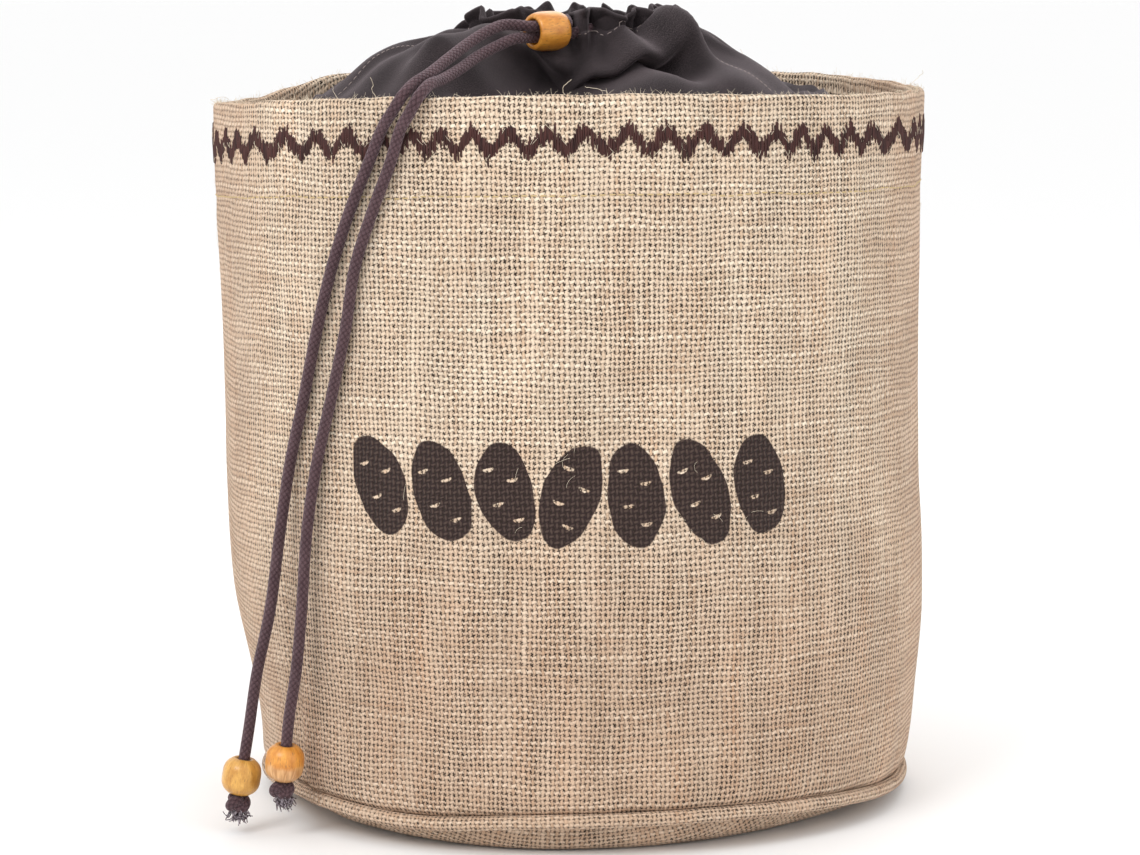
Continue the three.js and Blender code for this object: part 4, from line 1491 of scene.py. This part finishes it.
def braid_finish(name):
    """Braided cotton: the strands' pillows, painted lighter as a highlight, fuzz, and slowly changing wear.
    """
    braid = Finish(name, Roughness=0.85, Specular_IOR_Level=0.2, Sheen_Weight=0.35,
                   Sheen_Roughness=0.4, Sheen_Tint=(0.80, 0.66, 0.72, 1))
    along, around_cord = braid.cloth_place()
    slant = along / BRAID_STEP
    turn = around_cord / CORD_ROUND * BRAID_ROUND
    one = ((slant + turn) * math.pi).cos().size()
    other = ((slant - turn) * math.pi).cos().size()
    pillow = (one * other) ** 0.6
    fuzz = braid.cloud(along * 3200, around_cord * 3200, detail=2.0)
    worn = braid.cloud(along * 120, around_cord * 60)
    # The pillows' tops are painted lighter as a highlight; fuzz and wear vary the tone
    light = pillow * 0.55 + (fuzz - 0.5) * 1.1 + (worn - 0.5) * 0.5
    braid.paint(Base_Color=braid.mix(light, BRAID_DARK, BRAID_LIGHT))
    braid.relief(pillow + fuzz * 0.5, 0.30 * MM)
    return braid.material


braid_material = braid_finish("braided_cotton")
for piece in cords.values():
    piece.data.materials.append(braid_material)

# %% Knots and tufts
KNOT_TURN_RADIUS = 2.75 * MM
KNOT_HALF_HEIGHT = 1.25 * MM
KNOT_HEIGHT = 6.4 * MM
KNOT_POINTS = 96
KNOT_CORD_RADIUS = CORD_DIAMETER / 2 * 0.98
KNOT_UV_LENGTH = 40 * MM
TUFT_THREADS = 60
TUFT_LENGTH = 5.2 * MM
TUFT_RADIUS = 0.29 * MM
TUFT_INTO_KNOT = 1.2 * MM
TUFT_SHARES = (0, 0.15, 0.3, 0.45, 0.6, 0.75, 0.9, 1)
TUFT_LEANS = {"left": Vector((0.30, -0.1, 0)), "right": Vector((0.75, -0.25, 0))}
FRAYED_GRAIN = 1100.0
FRAYED_DARK = (0.040, 0.024, 0.030)
FRAYED_LIGHT = (0.44, 0.38, 0.42)


def knot_way(place, axis):
    """A closed trefoil round the cord's end, its flat side across the cord."""
    aim = axis.to_track_quat("Z", "Y").to_matrix()
    way = []
    for step in range(KNOT_POINTS + 1):
        t = 2 * math.pi * step / KNOT_POINTS
        lobe = Vector((math.sin(t) + 2 * math.sin(2 * t), math.cos(t) - 2 * math.cos(2 * t), 0)) / 3
        way.append(place + aim @ Vector((lobe.x * KNOT_TURN_RADIUS, lobe.y * KNOT_TURN_RADIUS,
                                         -math.sin(3 * t) * KNOT_HALF_HEIGHT)))
    return way


frayed = Finish("frayed_cotton", Roughness=0.8)
place = frayed.node("ShaderNodeTexCoord", out=3)
strands = frayed.node("ShaderNodeTexNoise", inputs={"Vector": place, "Scale": FRAYED_GRAIN, "Detail": 3.0})
frayed.paint(Base_Color=frayed.mix((strands - 0.40) * 3.6, FRAYED_DARK, FRAYED_LIGHT))

for side_name, (end, upward) in CORD_ENDS.items():
    middle = end - upward * (SEAM_GAP + KNOT_HEIGHT / 2)
    mesh = tubes(f"knot_{side_name}_cord", [knot_way(middle, upward)], KNOT_CORD_RADIUS, 16, capped=False)
    scale_uv(mesh, KNOT_UV_LENGTH, CORD_ROUND)
    mesh.materials.append(braid_material)
    as_piece(f"knot_{side_name}_cord", mesh, "cord", f"knot_{side_name}")
    root = middle - upward * TUFT_INTO_KNOT
    threads = []
    for number in range(TUFT_THREADS):
        aside = Vector((chance.gauss(0, 1), chance.gauss(0, 1), chance.gauss(0, 0.35)))
        heading = (-upward + aside * 0.34 + TUFT_LEANS[side_name] * 0.8).normalized()
        curl = Vector((chance.gauss(0, 1), chance.gauss(0, 1), chance.gauss(0, 1))) * 1.9 * MM
        start = root + aside * 0.75 * MM
        reach = TUFT_LENGTH * chance.uniform(0.75, 1.15)
        spots = [(start + heading * reach * share + curl * math.sin(3.6 * share) * share, share)
                 for share in TUFT_SHARES]
        threads.append([(*spot, 1 - 0.35 * share) for spot, share in spots])
    tuft_mesh = tubes(f"tuft_{side_name}", threads, TUFT_RADIUS)
    tuft_mesh.materials.append(frayed.material)
    as_piece(f"tuft_{side_name}", tuft_mesh, "cord")
    print(f"knot and tuft {side_name}: lowest {min(v.co.z for v in tuft_mesh.vertices) * 1000:.1f} mm")

# %% [markdown]
# ## Loose fibres
# Jute is hairy: short fibres stand up along the rim, others lie over the weave, and a few
# long threads curl up where the cloth was cut. They are one piece of very thin tubes.

# %% Fibres
RIM_HAIRS = 900
WALL_HAIRS = 560
TRIM_HAIRS = 260
LONG_THREADS = 16
HAIR_RADIUS = 0.055 * MM
HAIRY_FROM = 19 * MM
HAIRY_TO = 256 * MM
UNDER_RIM = 2.5 * MM
# Where a hair's points are on its length, and for the last two kinds how many
# millimetres they stand off the cloth
RIM_HAIR_SHARES = (0, 0.35, 0.7, 1)
WALL_HAIR_LIFTS = ((0, -0.05), (0.25, 0.25), (0.5, 0.4), (0.75, 0.45), (1, 0.3))
TRIM_HAIR_LIFTS = (0.1, 0.45, 0.55, 0.3)
TRIM_HAIR_STEP = 0.8 * MM
# Roughly where the long threads start, in degrees
LONG_THREAD_PLACES = (-34, -28, -12, -4, 4, 12, 16, 48, 56, 100, 150, -150, -100)
LONG_THREAD_POINTS = 14
LONG_THREAD_STEP = 0.75 * MM


def rim_hair():
    """A short hair that stands up from the rim."""
    angle = chance.uniform(-180, 180)
    rim = ends_at(angle)[1]
    turn = math.radians(chance.uniform(20, 150))
    radius = wall_radius(angle, rim - UNDER_RIM) - HEM_THICKNESS / 2 * (1 - math.cos(turn))
    start = polar(angle, radius, rim - HEM_THICKNESS / 2 * (1 - 0.95 * math.sin(turn)))
    heading = polar(angle + chance.gauss(0, 40), math.cos(turn) * 0.7, 0.35 + 0.5 * math.sin(turn))
    heading += polar(angle + 90, chance.gauss(0, 0.8), 0)
    curl = Vector((chance.gauss(0, 1), chance.gauss(0, 1), chance.gauss(0, 0.6))) * 0.6 * MM
    reach = chance.uniform(0.6, 2.3) * MM
    return [(*(start + heading.normalized() * reach * share + curl * share**2), 1 - 0.5 * share)
            for share in RIM_HAIR_SHARES]


def wall_hair():
    """A longer hair that lies over the weave."""
    angle = chance.uniform(-180, 180)
    height = chance.uniform(20, 255) * MM
    reach = chance.uniform(2, 6) * MM
    slope = chance.uniform(-math.pi, math.pi)
    bend = chance.gauss(0, 0.25)
    spots = []
    for share, lift in WALL_HAIR_LIFTS:
        heading = slope + bend * share * 3
        side_angle = angle + around(reach * share * math.cos(heading))
        side_height = min(max(height + reach * share * math.sin(heading), HAIRY_FROM), HAIRY_TO)
        spots.append((*on_side(side_angle, side_height, lift * MM), 1 - 0.4 * share))
    return spots


def trim_hair():
    """A pale hair across the trim's stitches or just over them."""
    angle = chance.uniform(-180, 180)
    foot = ends_at(angle)[1] - TRIM_BELOW_RIM + tooth_height(angle) + chance.choice((-3.5, 1.5)) * MM
    lean = chance.uniform(-0.4, 0.4)
    return [(*on_side(angle + lean * step, foot + step * TRIM_HAIR_STEP, lift * MM), 1.3)
            for step, lift in enumerate(TRIM_HAIR_LIFTS)]


def long_thread():
    """A loose end of yarn that curls up from the rim."""
    angle = chance.choice(LONG_THREAD_PLACES) + chance.gauss(0, 3)
    rim = ends_at(angle)[1]
    spot = polar(angle, wall_radius(angle, rim - UNDER_RIM) - HEM_THICKNESS / 2, rim - 0.4 * MM)
    heading = Vector((chance.gauss(0, 0.8), chance.gauss(0, 0.4), 0.8)).normalized()
    way = []
    for _ in range(LONG_THREAD_POINTS):
        way.append((*spot, 1.5))
        heading += Vector((chance.gauss(0, 0.35), chance.gauss(0, 0.35), chance.gauss(-0.06, 0.25)))
        heading.normalize()
        spot = spot + heading * LONG_THREAD_STEP
    return way


jute_hairs = [make() for make, count in (
    (rim_hair, RIM_HAIRS), (wall_hair, WALL_HAIRS), (trim_hair, TRIM_HAIRS), (long_thread, LONG_THREADS),
) for _ in range(count)]
hair_mesh = tubes("jute_fibres", jute_hairs, HAIR_RADIUS, capped=False)
fibre = Finish("jute_fibre", Base_Color=(0.74, 0.64, 0.49, 1), Roughness=0.7)
hair_mesh.materials.append(fibre.material)
as_piece("jute_fibres", hair_mesh, "jute")
print("jute_fibres:", len(hair_mesh.polygons), "faces")

# %% [markdown]
# ## What hangs on the cords
# A cord is more than its mesh. For each one its length is read, and the pieces that hang on
# it are named: its bead, knot and tuft, and for the left one also the toggle, which sits on
# both cords.

# %% Finish
for side_name, piece in cords.items():
    way, length = CORD_WAYS[side_name]
    ([f"bead_{side_name}", f"knot_{side_name}_cord", f"tuft_{side_name}"]
            + (["bead_toggle"] if side_name == "left" else []))
